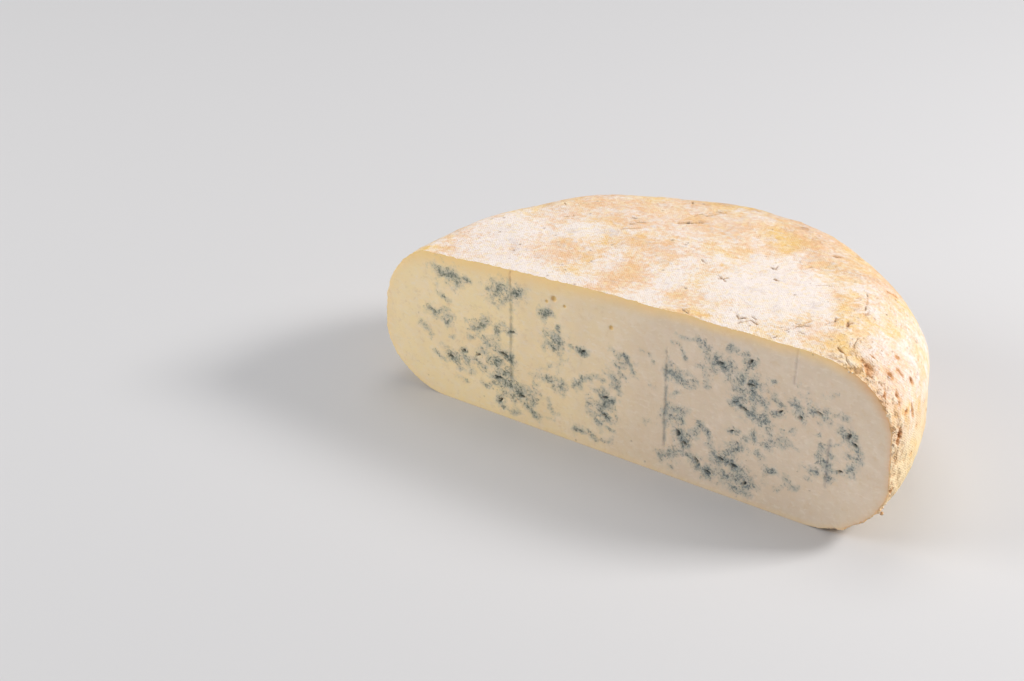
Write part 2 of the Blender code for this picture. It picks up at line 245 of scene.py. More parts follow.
# Veins of mould in the cut, as (half width, strength, then the x and z of its points)
VEINS = (
    (2, 0.35, (28, 84), (32, 84), (36, 77)), (1.6, 0.35, (31, 89), (45, 90)),
    (2.4, 0.6, (45, 91), (50, 88), (51, 81)), (3.4, 0.45, (51, 86), (58, 84)),
    (5, 0.75, (56, 80), (63, 79)), (2.4, 0.35, (44, 75), (47, 75), (50, 64)),
    (4.4, 0.6, (27, 65), (33, 64)), (3.4, 0.45, (33, 62), (42, 64)), (2.2, 0.3, (28, 52), (35, 56)),
    (3.6, 0.6, (27, 42), (36, 42)), (4.6, 0.65, (27, 37), (33, 38)), (2.8, 0.9, (32, 30), (37, 25)),
    (3.2, 0.45, (36, 27), (42, 33), (46, 38)), (2.4, 0.55, (46, 40), (51, 36), (54, 28), (58, 22)),
    (2.8, 1, (58, 22), (65, 23), (70, 20)), (3.6, 0.7, (62, 25), (68, 31), (72, 34)),
    (3, 0.6, (22, 11), (27, 13), (34, 18)), (2, 0.4, (27, 7), (29, 6)),
    (2.2, 0.9, (41, 18), (46, 13), (52, 10)), (3.4, 0.7, (50, 12), (58, 12), (66, 13)),
    (2.4, 0.65, (62, 8), (72, 7)), (4.6, 0.6, (66, 16), (72, 13)), (3.6, 0.8, (74, 15), (77, 12), (75, 9)),
    (2, 0.6, (62, 91), (66, 93)), (2.4, 0.4, (70, 92), (77, 91)), (2.6, 0.7, (73, 82), (77, 89)),
    (4, 0.8, (69, 75), (79, 75)), (4.6, 0.65, (70, 71), (77, 71), (80, 64)),
    (4.4, 0.45, (70, 64), (79, 66), (86, 65)), (3, 0.4, (78, 78), (87, 76)),
    (2.4, 0.28, (80, 82), (90, 81)), (2.6, 0.5, (82, 76), (88, 73), (96, 67)),
    (1.8, 0.85, (91, 61), (95, 63)), (2.4, 0.9, (67, 61), (72, 58.5), (77, 57.5)),
    (3.8, 0.7, (77, 57), (86, 54)), (2, 0.4, (86, 54), (90, 51)), (2.6, 0.4, (103, 55), (97, 51)),
    (3.2, 0.6, (87, 41), (90, 44), (99, 47)), (2, 0.25, (102, 46), (106, 44)),
    (2.4, 0.55, (80, 46), (79, 41), (75, 40)), (1.5, 0.9, (65.5, 41.5), (68.5, 42.5)),
    (2.6, 0.35, (82, 34), (84, 32)), (2.2, 0.6, (87, 25), (93, 26)), (2.8, 0.38, (99, 23), (105, 21)),
    (2.4, 0.16, (86, 17), (97, 16)), (3.4, 0.5, (104, 74), (105, 69), (109, 64)),
    (1.6, 0.9, (107, 65), (108, 64)), (2.2, 0.3, (104, 76), (112, 77)), (2.2, 0.25, (106, 83), (112, 82)),
    (2.8, 0.7, (113, 72), (120, 70), (122, 68)), (2, 0.6, (121, 73), (134, 74)),
    (1.8, 0.22, (120, 82), (124, 84), (129, 86)), (2.8, 0.85, (133, 63), (137, 63)),
    (2.3, 0.8, (138, 61), (141, 58), (142, 50)), (2.4, 0.6, (137, 51), (141, 52)),
    (2.6, 0.6, (142, 50), (139, 44), (135, 41)), (1.4, 0.45, (126, 54), (132, 58)),
    (2.6, 0.65, (121, 50), (125, 48)), (3.4, 0.65, (120, 45), (124, 43)), (2.4, 0.75, (124, 42), (125, 34)),
    (1.5, 0.8, (126, 39), (134, 40)), (1.8, 0.45, (134, 39), (139, 39)), (2.4, 0.5, (111, 35), (118, 35)),
    (2, 0.22, (112, 30), (117, 29)), (1.8, 0.35, (117, 58), (119, 58)), (2, 0.3, (12, 29), (16, 30)),
    (1.6, 0.3, (14, 53), (17, 52)), (1.4, 0.4, (16, 68), (17, 67)), (2, 0.3, (9, 73), (13, 71)),
    (2.2, 0.35, (-9, 66), (-8, 63)), (4.8, 0.45, (-5, 62), (0, 59)), (1.3, 0.9, (-2, 66), (3, 58)),
    (1.3, 0.85, (-7, 58), (-5, 57)), (1.6, 0.6, (-5, 54), (-1, 52)), (3.8, 0.45, (-11, 51), (-7, 46)),
    (1.3, 0.9, (-7, 45), (-5, 42)), (1.6, 0.6, (-22, 46), (-20, 46)), (1.8, 0.45, (-17, 45), (-15, 46)),
    (4.8, 0.7, (-14, 34), (-14, 29)), (1.6, 1, (-17, 36), (-10, 34)), (4.8, 0.6, (-20, 27), (-14, 24)),
    (1.8, 1, (-15, 25), (-13, 23)), (4.6, 0.32, (-19, 18), (-12, 17)), (1.3, 0.8, (-20, 19), (-17, 18)),
    (1.3, 0.8, (-13, 17), (-11, 16)), (1.8, 0.5, (-22, 8), (-20, 6)), (1.8, 0.55, (-15, 7), (-11, 8)),
    (2, 0.6, (-29, 42), (-24, 44)), (2.8, 0.5, (-34, 36), (-30, 38)), (1.8, 0.7, (-33, 8), (-29, 9)),
    (1.6, 0.45, (-25, 10), (-24, 10)), (1.8, 1, (-30, 59), (-28, 58.5)), (1.4, 0.7, (-39, 60), (-37, 60)),
    (2.8, 0.75, (-56, 74), (-52, 76)), (1.8, 0.6, (-46, 68), (-44, 66)), (3.4, 0.5, (-131, 54), (-125, 50)),
    (1.6, 0.8, (-128, 53), (-125, 52)), (2.4, 0.5, (-137, 43), (-131, 38)),
    (2.2, 0.45, (-124, 66), (-119, 62)), (2.6, 0.45, (-127, 26), (-121, 24)),
    (4.4, 0.7, (-123, 79), (-114, 78)), (1.8, 0.9, (-116, 79), (-115, 77)),
    (2.4, 0.4, (-109, 80), (-103, 79)), (4.8, 0.75, (-86, 78), (-80, 80)),
    (4.2, 0.65, (-80, 80), (-71, 82)),
)

# The left part of the cut is made from the marks of the right part in this range, turned half round
TURNED_X = (26, 128)
TURNED_LOWEST_Z = 35
TURNED_TO = (-22, -0.8, 98)       # x shift and scale, and z shift


def turned_over(marks, first):
    """The turned copies of marks, with their first numbers kept. Pockets, with first 0, keep their last."""
    shift_x, scale, shift_z = TURNED_TO
    turned = []
    for mark in marks:
        spots = mark[first:] if first else (mark[:2],)
        if all(TURNED_X[0] < x < TURNED_X[1] and z > TURNED_LOWEST_Z for x, z in spots):
            moved = [(shift_x + scale * x, shift_z - z) for x, z in spots]
            turned.append((*mark[:first], *moved) if first else (*moved[0], *mark[2:]))
    return tuple(turned)


ALL_VEINS = VEINS + turned_over(VEINS, 2)
ALL_POCKETS = POCKETS + turned_over(POCKETS, 0)
VEIN_FIELD_LOW = -1.0             # the vein field's value far from every vein
VEIN_FALL = 0.48                  # how much it falls over each half width of a vein

# Tones of the top of the rind, as (x, y, reach along X, reach along Y, strength)
PEACH_AREAS = (
    (-62, 34, 20, 18, 1), (-26, 60, 26, 12, 1), (-50, 86, 26, 18, 1), (-12, 100, 34, 16, 0.9),
    (26, 92, 22, 16, 0.6), (-88, 66, 16, 16, 0.7), (-12, 20, 14, 14, 0.9), (-34, 14, 10, 10, 0.4),
    (30, 18, 10, 14, 0.4), (-120, 20, 12, 18, 0.35), (14, 56, 10, 6, 0.5), (-74, 92, 18, 10, 0.5),
)
GOLD_AREAS = (
    (104, 58, 10, 18, 0.8), (78, 92, 18, 10, 0.8), (113, 38, 9, 12, 0.9), (118, 15, 13, 9, 0.9),
    (36, 8, 16, 8, 0.6), (46, 108, 30, 10, 0.5), (-20, 30, 8, 20, 0.4), (70, 24, 18, 8, 0.35),
    (92, 30, 12, 10, 0.5), (16, 20, 10, 10, 0.4),
)
WHITE_AREAS = (
    (62, 46, 26, 24, 1), (58, 16, 16, 10, 0.8), (-110, 42, 18, 26, 0.8), (-76, 6, 30, 8, 0.9),
    (142, 42, 16, 30, 0.7), (96, 84, 12, 12, 0.5), (6, 20, 8, 22, 0.7), (-66, 60, 12, 8, 0.5),
    (120, 66, 12, 12, 0.8),
)


def surface_frame(place):
    """Where the rind is nearest to a rough place: its run, angle, point and outward normal."""
    angle = math.atan2(place[1], place[0])
    line = settled(FINE_RUNS, np.full(len(FINE_RUNS), angle))
    run = float(FINE_RUNS[np.argmin(np.linalg.norm(line - np.array(place), axis=1))])
    near = settled(np.array([run, run + NUDGE_RUN, run]), np.array([angle, angle, angle + NUDGE_ANGLE]))
    down = near[1] - near[0]
    round_axis = near[2] - near[0]
    normal = np.cross(down, round_axis)
    return run, angle, near[0], normal / np.linalg.norm(normal)


def tangent_axes(normal, turn):
    """Two axes in the rind, the first turned by some degrees from +X on top, or from level elsewhere."""
    level = np.array((1, 0, 0)) if normal[2] > 0.8 else np.cross((0, 0, 1), normal)
    along = level - normal * (level @ normal)
    along /= np.linalg.norm(along)
    across = np.cross(normal, along)
    angle = math.radians(turn)
    return (
        along * math.cos(angle) + across * math.sin(angle),
        across * math.cos(angle) - along * math.sin(angle),
    )


def small_pits():
    """Smaller cavities, strewn by angle round the side and the shoulder."""
    rng = random.Random(PIT_SEED)
    pits = []
    for i in range(PIT_COUNT):
        share = (i + rng.uniform(0.1, 0.9)) / PIT_COUNT
        angle = math.radians(6 + 166 * share ** 1.35)
        place = (RADIUS * math.cos(angle), RADIUS * math.sin(angle), rng.uniform(22, 100))
        length = rng.uniform(2.4, 5.6)
        width = length * rng.uniform(0.35, 0.8)
        pits.append((place, length, width, 0.3 * length, rng.uniform(0, 180)))
    return pits


class Hollow:
    """A cavity in the rind: its place on the surface, its axes and its size."""

    def __init__(self, place, length, width, depth, turn):
        self.run, self.angle, self.centre, self.normal = surface_frame(place)
        self.along, self.across = tangent_axes(self.normal, turn)
        self.half = (length / 2, width / 2)
        self.depth = depth
        self.reach = length / 2 + HOLLOW_MARGIN

    def share(self, points):
        """Depth from 0 to 1, and a wider share from 0 to 1 for the rust around it and the painted shade on
        its floor, with uneven rims.
        """
        offset = points - self.centre
        near = np.linalg.norm(offset, axis=1) < 1.5 * self.reach
        deep = np.zeros(len(points))
        rust = np.zeros(len(points))
        if near.any():
            u = offset[near] @ self.along / self.half[0]
            v = offset[near] @ self.across / self.half[1]
            drift = 0.9 * noise_at(points[near], 2.8) + 0.5 * noise_at(points[near], 1.2)
            away = np.hypot(u, v) - drift
            deep[near] = np.clip((1 - away) / 0.8, 0, 1)
            rust[near] = np.clip((1.9 - away) / 1.6, 0, 1)
        return deep, rust


HOLLOWS = [Hollow(*cavity) for cavity in (*CAVITIES, *small_pits())]


def rows(step, run_range, angle_range, rng):
    """Jittered rows of points over a patch of the rind, about step apart, as run and angle."""
    parts = []
    count = max(1, round((run_range[1] - run_range[0]) / (ROW_SHARE * step)))
    for i in range(count):
        run = run_range[0] + (i + 0.5) * (run_range[1] - run_range[0]) / count
        radius = float(np.interp(run, RUN, RUN_RADIUS))
        number = int((angle_range[1] - angle_range[0]) * radius / step)
        if number < 1:
            continue
        shares = (np.arange(number) + 0.25 + 0.5 * (i % 2)) / number
        jitter = 0.2 * step * rng.uniform(-1, 1, (2, number))
        angle = angle_range[0] + (angle_range[1] - angle_range[0]) * shares + jitter[1] / radius
        parts.append((run + jitter[0], angle))
    return np.concatenate(parts, 1)


def patch_rows(centre, reach, step, rng):
    """Jittered points about step apart on a round patch of the rind, as run and angle."""
    side = np.arange(-reach, reach, step)
    u, v = np.meshgrid(side, side * ROW_SHARE)
    u = (u + 0.5 * step * (np.arange(len(side)) % 2)[:, None]).ravel()
    v = v.ravel()
    inside = np.hypot(u, v) < reach
    jitter = 0.15 * step * rng.uniform(-1, 1, (2, inside.sum()))
    run = centre[0] + v[inside] + jitter[0]
    radius = np.interp(np.clip(run, 1, None), RUN, RUN_RADIUS)
    return np.array([run, centre[1] + (u[inside] + jitter[1]) / radius])


def on_rind(spots):
    """Which points, as run and angle, are on the rind and not too near its edges."""
    run, angle = spots
    clear = 0.7 * OUTLINE_STEP
    off_cut = (angle > 0) & (angle < math.pi) & (np.interp(run, RUN, RUN_RADIUS) * np.sin(angle) > clear)
    return off_cut & (run > clear) & (run < FULL_RUN - clear)


def clear_of(spots, hollow, margin=CLEARANCE):
    """Which points, as run and angle, are outside a cavity's fine patch."""
    return np.linalg.norm(settled(*spots) - hollow.centre, axis=1) > hollow.reach + margin


def run_at(x, y):
    """The run down the top, and the angle, of points over x and y."""
    angle = np.arctan2(y, x)
    grid = settled(np.tile(TOP_RUNS, len(x)), np.repeat(angle, len(TOP_RUNS)))
    radii = np.hypot(grid[:, 0], grid[:, 1]).reshape(len(x), len(TOP_RUNS))
    reach = np.hypot(x, y)
    return np.array([[np.interp(far, row, TOP_RUNS) for far, row in zip(reach, radii)], angle])


def segments(lines):
    """Each line's first two numbers, with the start and end of each of its straight parts."""
    for first, second, *path in lines:
        for start, end in zip(path, path[1:]):
            yield first, second, start, end


def distance_to_segment(x, z, start, end):
    dx, dz = end[0] - start[0], end[1] - start[1]
    along = np.clip(((x - start[0]) * dx + (z - start[1]) * dz) / max(dx * dx + dz * dz, 1e-9), 0, 1)
    return np.hypot(x - start[0] - along * dx, z - start[1] - along * dz)


def distance_to_cracks(points):
    away = np.full(len(points), 1e9)
    for _, _, start, end in segments(CRACKS):
        away = np.minimum(away, distance_to_segment(points[:, 0], points[:, 1], start, end))
    return away


def refined_along_cracks(spots, rng):
    """The rind's points with finer ones along the cracks in the top."""
    placed = settled(*spots)
    kept = (distance_to_cracks(placed) > CRACK_REACH) | (spots[0] > TOP_END)
    for hollow in HOLLOWS:
        kept |= np.linalg.norm(placed - hollow.centre, axis=1) < hollow.reach
    marks = np.array([mark for line in CRACKS for mark in line[2:]], float)
    fine = grid_in(np.array([marks.min(axis=0) - 2, marks.max(axis=0) + 2]), HOLLOW_STEP, rng)
    fine = fine[distance_to_cracks(fine) < CRACK_REACH - CLEARANCE]
    fine = run_at(fine[:, 0], fine[:, 1])
    for hollow in HOLLOWS:
        fine = fine[:, clear_of(fine, hollow, 0)]
    return np.concatenate([spots[:, kept], fine], 1)


def rind_plan():
    """All the rind's points as run and angle. The cut's two edges come first, and then the base's edge."""
    rng = np.random.default_rng(RIND_SEED)
    edge_count = round(FULL_RUN / OUTLINE_STEP)
    edge_runs = np.linspace(0, FULL_RUN, edge_count + 1)
    base_count = round(math.pi * RUN_RADIUS[-1] / BASE_EDGE_STEP)
    base_angles = np.linspace(0, math.pi, base_count + 1)[1:-1]
    fixed = [
        (edge_runs, np.zeros(edge_count + 1)),
        (edge_runs[1:], np.full(edge_count, math.pi)),
        (np.full(base_count - 1, FULL_RUN), base_angles),
    ]
    coarse = rows(RIND_STEP, (0, FULL_RUN), (0, math.pi), rng)
    crust = rows(CRUST_STEP, CRUST_RUNS, (0, CRUST_ANGLE), rng)
    in_crust = (coarse[1] < CRUST_ANGLE) & (coarse[0] > CRUST_RUNS[0]) & (coarse[0] < CRUST_RUNS[1])
    spots = np.concatenate([coarse[:, ~in_crust], crust], 1)
    off_strip = np.interp(spots[0], RUN, RUN_RADIUS) * np.sin(spots[1]) > STRIP_WIDTH
    parts = [spots[:, off_strip]]
    for offset, step in STRIP_ROWS:
        runs = np.arange(2 * offset, FULL_RUN - offset, step)
        angle = np.arcsin(offset / np.maximum(np.interp(runs, RUN, RUN_RADIUS), 1.5 * offset))
        parts += [(runs, angle), (runs + step / 2, math.pi - angle)]
    spots = np.concatenate(parts, 1)
    for i, hollow in enumerate(HOLLOWS):
        fine = patch_rows((hollow.run, hollow.angle), hollow.reach, HOLLOW_STEP, rng)
        fine = fine[:, on_rind(fine)]
        for other in HOLLOWS[:i]:
            fine = fine[:, clear_of(fine, other)]
        spots = np.concatenate([spots[:, clear_of(spots, hollow)], fine], 1)
    spots = refined_along_cracks(spots, rng)
    return np.concatenate([*fixed, spots[:, on_rind(spots)]], 1), edge_count, base_count


def triangles(points, edges=()):
    """Triangles over flat points, counter-clockwise, with the edges kept."""
    flat = [Vector(row) for row in points.tolist()]
    _, _, faces, origin, _, _ = delaunay_2d_cdt(flat, list(edges), [], 0, 1e-7)
    first = np.array([origins[0] for origins in origin])
    return first[np.array(faces)]


def vertex_normals(points, faces):
    corners = points[faces]
    across = np.cross(corners[:, 1] - corners[:, 0], corners[:, 2] - corners[:, 0])
    normals = np.zeros_like(points)
    for k in range(3):
        np.add.at(normals, faces[:, k], across)
    return normals / np.maximum(np.linalg.norm(normals, axis=1), 1e-12)[:, None]


def inside_loop(points, loop):
    """Which flat points are inside a closed loop of flat points."""
    inside = np.zeros(len(points), bool)
    x, y = points[:, 0], points[:, 1]
    for (x0, y0), (x1, y1) in zip(loop.tolist(), np.roll(loop, -1, axis=0).tolist()):
        if y0 != y1:
            crosses = ((y0 > y) != (y1 > y)) & (x < (x1 - x0) * (y - y0) / (y1 - y0) + x0)
            inside ^= crosses
    return inside


def distance_to_loop(points, loop):
    tree = kdtree.KDTree(len(loop))
    for i, (x, z) in enumerate(loop.tolist()):
        tree.insert((x, z, 0), i)
    tree.balance()
    return np.array([tree.find((x, z, 0))[2] for x, z in points.tolist()])


def fill(loop, inner):
    """Flat points, a closed loop and then those inside it, and the triangles that fill the loop."""
    flat = np.concatenate([loop, inner])
    faces = triangles(flat, [(i, (i + 1) % len(loop)) for i in range(len(loop))])
    return flat, faces[inside_loop(flat[faces].mean(axis=1), loop)]


def grid_in(loop, step, rng):
    """Jittered points about step apart over a loop's box."""
    low, high = loop.min(axis=0), loop.max(axis=0)
    x, z = np.meshgrid(np.arange(low[0], high[0], step), np.arange(low[1], high[1], ROW_SHARE * step))
    x = x + 0.5 * step * (np.arange(len(x)) % 2)[:, None]
    points = np.stack([x.ravel(), z.ravel()], 1)
    return points + 0.18 * step * rng.uniform(-1, 1, points.shape)


def pocket_share(x, z, pocket):
    """0 outside an open pocket of mould, and up to 1 at its floor."""
    px, pz, length, thickness, tilt = pocket
    angle = math.radians(tilt)
    u = ((x - px) * math.cos(angle) + (z - pz) * math.sin(angle)) / (length / 2)
    v = ((z - pz) * math.cos(angle) - (x - px) * math.sin(angle)) / (thickness / 2)
    return np.clip(1 - u * u - v * v, 0, 1)


def cut_plan(loop):
    """Points inside the cut's outline, in x and z: finer near the rind, the needles and the pockets."""
    rng = np.random.default_rng(CUT_SEED)

    def marked(points):
        x, z = points.T
        near = np.zeros(len(points), bool)
        for px, pz, length, *_ in ALL_POCKETS:
            near |= np.hypot(x - px, z - pz) < length / 2 + POCKET_MARGIN
        for ex, ez, radius in EYES:
            near |= np.hypot(x - ex, z - ez) < radius + EYE_MARGIN
        for start, end, _ in NEEDLES:
            near |= distance_to_segment(x, z, start, end) < NEEDLE_MARGIN
        return near

    clear = 0.8 * OUTLINE_STEP
    grids = [grid_in(loop, step, rng) for step in (CUT_STEP, 0.72 * CUT_STEP, HOLLOW_STEP)]
    coarse, fine, finest = (grid[inside_loop(grid, loop)] for grid in grids)
    coarse = coarse[~marked(coarse) & (distance_to_loop(coarse, loop) >= RIM_ZONE)]
    away = distance_to_loop(fine, loop)
    fine = fine[~marked(fine) & (away < RIM_ZONE) & (away >= clear)]
    finest = finest[marked(finest) & (distance_to_loop(finest, loop) >= clear)]
    return np.concatenate([coarse, fine, finest])


def line_shares(across, along, lines, drift):
    """How near flat points are to listed lines: from 0 to 1, and the same times each line's depth."""
    share = np.zeros(len(across))
    depth = np.zeros(len(across))
    for half_width, size, start, end in segments(lines):
        away = distance_to_segment(across, along, start, end) / half_width
        near = np.clip(1.4 - away + drift, 0, 1)
        near = near * near * (3 - 2 * near)
        share = np.maximum(share, near)
        depth = np.maximum(depth, near * size)
    return share, depth


def vein_field(x, z):
    """Near 1 in the middle of a strong vein of mould, falling to VEIN_FIELD_LOW far from all."""
    field = np.full(len(x), VEIN_FIELD_LOW)
    for half_width, strength, start, end in segments(ALL_VEINS):
        away = distance_to_segment(x, z, start, end) / half_width
        field = np.maximum(field, strength - VEIN_FALL * away)
    return field


def area_field(x, y, areas):
    field = np.zeros(len(x))
    for cx, cy, reach_x, reach_y, strength in areas:
        spread = ((x - cx) / reach_x) ** 2 + ((y - cy) / reach_y) ** 2
        field = np.maximum(field, strength * np.exp(-0.8 * spread))
    return field


def build_cheese():
    """The half wheel as one closed mesh: the rind, the base and the cut, which share their edges."""
    (run, angle), edge_count, base_count = rind_plan()
    plan = np.stack([run * np.cos(angle), run * np.sin(angle)], 1)
    plan[edge_count + 1 : 2 * edge_count + 1, 1] = 0.0
    rind_faces = triangles(plan)
    points = settled(run, angle)
    normals = vertex_normals(points, rind_faces)
    on_cut = np.zeros(len(points), bool)
    on_cut[: 2 * edge_count + 1] = True
    points[on_cut, 1] = 0.0
    chips = 0.55 * noise_at(points[on_cut], 3.1) + 0.35 * noise_at(points[on_cut], 1.3)
    pit = np.zeros(len(points))
    push = relief(points)
    for hollow in HOLLOWS:
        deep, rust = hollow.share(points)
        pit = np.maximum(pit, rust)
        push -= hollow.depth * deep
    crack, crack_depth = line_shares(points[:, 0], points[:, 1], CRACKS, noise_at(points, 1.6) * 0.9)
    crack *= run < CRACKS_END
    push -= crack_depth * (run < CRACKS_END)
    around = np.degrees(angle) * FOLD_SCALE
    folds = [(half, rise, *((turn * FOLD_SCALE, z) for turn, z in path)) for half, rise, *path in FOLDS]
    wander = 0.9 * noise_at(points, 15) + 0.5 * noise_at(points, 5) - 0.15
    crease, crease_rise = line_shares(around, points[:, 2], folds, wander)
    side = np.clip((run - SIDE_START) / SIDE_FADE, 0, 1)
    push += crease_rise * side * np.clip(points[:, 2] / FLAT_BASE, 0, 1)
    normals[on_cut, 1] = 0.0
    normals[on_cut] /= np.linalg.norm(normals[on_cut], axis=1)[:, None]
    base_edge = np.arange(2 * edge_count + 1, 2 * edge_count + base_count)
    left_foot = 2 * edge_count
    push[on_cut] += chips * np.clip(points[on_cut, 2] / FLAT_BASE, 0, 1)
    push[[edge_count, left_foot, *base_edge]] = 0.0
    points = points + normals * push[:, None]
    points[[edge_count, left_foot, *base_edge], 2] = 0.0

    right_edge = np.arange(0, edge_count + 1)
    left_edge = np.arange(edge_count + 1, 2 * edge_count + 1)
    count = len(points)
    foot_x = points[[left_foot, edge_count], 0]
    base_line_count = round((foot_x[1] - foot_x[0]) / BASE_LINE_STEP)
    base_line_x = np.linspace(*foot_x, base_line_count + 1)[1:-1]
    base_line = np.stack([base_line_x, 0 * base_line_x, 0 * base_line_x], 1)
    base_line_at = np.arange(count, count + len(base_line))
    ring = np.concatenate([[edge_count], base_edge, [left_foot], base_line_at])
    ring_points = np.concatenate([points, base_line])[ring][:, :2]
    inner = grid_in(ring_points, BASE_STEP, np.random.default_rng(BASE_SEED))
    inner = inner[inside_loop(inner, ring_points)]
    inner = inner[distance_to_loop(inner, ring_points) > 0.6 * BASE_STEP]
    _, base_faces = fill(ring_points, inner)
    base_at = np.concatenate([ring, count + len(base_line) + np.arange(len(inner))])
    base_inner = np.stack([inner[:, 0], inner[:, 1], 0 * inner[:, 0]], 1)
    points = np.concatenate([points, base_line, base_inner])

    count = len(points)
    loop = np.concatenate([right_edge[::-1], left_edge, base_line_at])
    loop_points = points[loop][:, [0, 2]]
    inner = cut_plan(loop_points)
    cut_flat, cut_faces = fill(loop_points, inner)
    cut_at = np.concatenate([loop, count + np.arange(len(inner))])
    x, z = inner[:, 0], inner[:, 1]
    sunk = np.zeros(len(inner))
    core = np.zeros(len(inner))
    flat_points = np.stack([x, 0 * x, z], 1)
    ragged = 0.35 * noise_at(flat_points, 0.9) + 0.2 * noise_at(flat_points, 0.45)
    for pocket in ALL_POCKETS:
        share = pocket_share(x, z, pocket)
        core = np.maximum(core, share)
        sunk = np.maximum(sunk, POCKET_DEPTH * np.clip(share + 0.8 * ragged * (share > 0), 0, 1) ** 0.7)
    for ex, ez, radius in EYES:
        away = np.hypot(x - ex, z - ez)
        ball = np.clip(np.sqrt(np.clip(radius ** 2 - away ** 2, 0, None)) + EYE_SHIFT * radius, 0, None)
        sunk = np.maximum(sunk, ball)
    needle_away = np.full(len(inner), NEEDLE_FAR)
    needle_mould = np.zeros(len(inner))
    for start, end, mould in NEEDLES:
        away = distance_to_segment(x, z, start, end)
        groove = np.clip(1 - (away / NEEDLE_RADIUS) ** 2, 0, 1) ** 0.5
        sunk = np.maximum(sunk, NEEDLE_DEPTH * groove)
        needle_mould = np.where(away < needle_away, mould, needle_mould)
        needle_away = np.minimum(needle_away, away)
    points = np.concatenate([points, np.stack([x, sunk, z], 1)])

    rim = distance_to_loop(inner, loop_points)
    eye_share = np.zeros(len(inner))
    for ex, ez, radius in EYES:
        eye_share = np.maximum(eye_share, np.clip(1.15 - np.hypot(x - ex, z - ez) / radius, 0, 1))
    rind_at = np.arange(len(run))
    cut_inner_at = count + np.arange(len(inner))
    x_rind, y_rind, z_rind = points[rind_at].T
    beside_cut = np.exp(-((y_rind / 15) ** 2)) * np.clip((x_rind - 92) / 36, 0, 1)
    crust = beside_cut * np.clip((run - 114) / 20, 0, 1)
    round_back = np.clip((np.minimum(angle, math.pi + 0.3 - angle) - 0.6) / 0.4, 0, 1)

    def spread(values, at, elsewhere=0.0):
        """Values at some of the mesh's points, and another value elsewhere."""
        whole = np.full(len(points), float(elsewhere))
        whole[at] = values
        return whole

    rind_values = {
        "rind": np.clip(z_rind / 3, 0, 1) * np.where(on_cut, 0.7, 1),
        "crust": crust,
        "back": side * round_back,
        "crumbly": crust * np.clip(1.2 - y_rind / 7, 0, 1) * np.clip(z_rind / 4 - 0.5, 0, 1),
        "side": side,
        "pit": pit,
        "crack": crack,
        "crease": crease * side,
        "peach": area_field(x_rind, y_rind, PEACH_AREAS) * (1 - side),
        "gold": area_field(x_rind, y_rind, GOLD_AREAS) * (1 - side),
        "white": area_field(x_rind, y_rind, WHITE_AREAS) * (1 - 0.6 * side),
    }
    cut_values = {
        "cut": np.clip(rim / 1.6, 0, 1),
        "core": core,
        "eye": eye_share,
        "rim": rim,
        "needle_mould": needle_mould,
    }
    values = {
        **{name: spread(value, rind_at) for name, value in rind_values.items()},
        **{name: spread(value, cut_inner_at) for name, value in cut_values.items()},
        "vein": spread(vein_field(cut_flat[:, 0], cut_flat[:, 1]), cut_at, VEIN_FIELD_LOW),
        "needle": spread(needle_away, cut_inner_at, NEEDLE_FAR),
    }
    faces = np.concatenate([rind_faces, base_at[base_faces][:, ::-1], cut_at[cut_faces]])
    in_cut = np.zeros(len(faces), bool)
    in_cut[-len(cut_faces) :] = True
    return points, faces, in_cut, values


def part_shift(points):
    """From the wheel's own frame to the part's, in metres: the cut goes to the solid's lowest Y."""
    low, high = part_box("half_wheel")
    middle = (points[:, 0].min() + points[:, 0].max()) / 2 * MM
    return np.array([(low.x + high.x) / 2 - middle, low.y, low.z])


def new_object(name, mesh):
    obj = bpy.data.objects.new(name, mesh)
    bpy.context.scene.collection.objects.link(obj)
    return obj


def cheese_object(paints):
    points, faces, in_cut, values = build_cheese()
    shift = part_shift(points)
    mesh = bpy.data.meshes.new("half_wheel_cheese")
    mesh.from_pydata(points * MM + shift, [], faces, shade_flat=False)
    for paint in paints:
        mesh.materials.append(paint)
    cut_side = mesh.attributes.new("in_cut", "FLOAT", "FACE")
    cut_side.data.foreach_set("value", in_cut.astype(np.float32))
    for name, value in values.items():
        attribute = mesh.attributes.new(name, "FLOAT", "POINT")
        attribute.data.foreach_set("value", value.astype(np.float32))
    edge_of = np.array([edge.vertices[:] for edge in mesh.edges])
    used = np.zeros((2, len(points)), bool)
    used[0, faces[in_cut].ravel()] = True
    used[1, faces[~in_cut].ravel()] = True
    both = used.all(axis=0)
    sharp = mesh.attributes.new("sharp_edge", "BOOLEAN", "EDGE")
    sharp.data.foreach_set("value", both[edge_of].all(axis=1))
    mesh.validate()
    return new_object("half_wheel_cheese", mesh), shift


def linear(red, green, blue):
    """A colour as its eye sees it, from 0 to 255, as the numbers that light is worked out with."""
    parts = []
    for part in (red, green, blue):
        share = part / 255
        parts.append(share / 12.92 if share <= 0.04045 else ((share + 0.055) / 1.055) ** 2.4)
    return (*parts, 1.0)


class Wire:
    """One output of a node. Arithmetic on it adds Math nodes to the same tree."""

    def __init__(self, graph, socket):
        self.graph = graph
        self.socket = socket

    def __add__(self, other):
        return self.graph.math("ADD", self, other)

    def __sub__(self, other):
        return self.graph.math("SUBTRACT", self, other)

    def __mul__(self, other):
        return self.graph.math("MULTIPLY", self, other)

    def __rsub__(self, other):
        return self.graph.math("SUBTRACT", other, self)

    def __rtruediv__(self, other):
        return self.graph.math("DIVIDE", other, self)

    __radd__ = __add__
    __rmul__ = __mul__


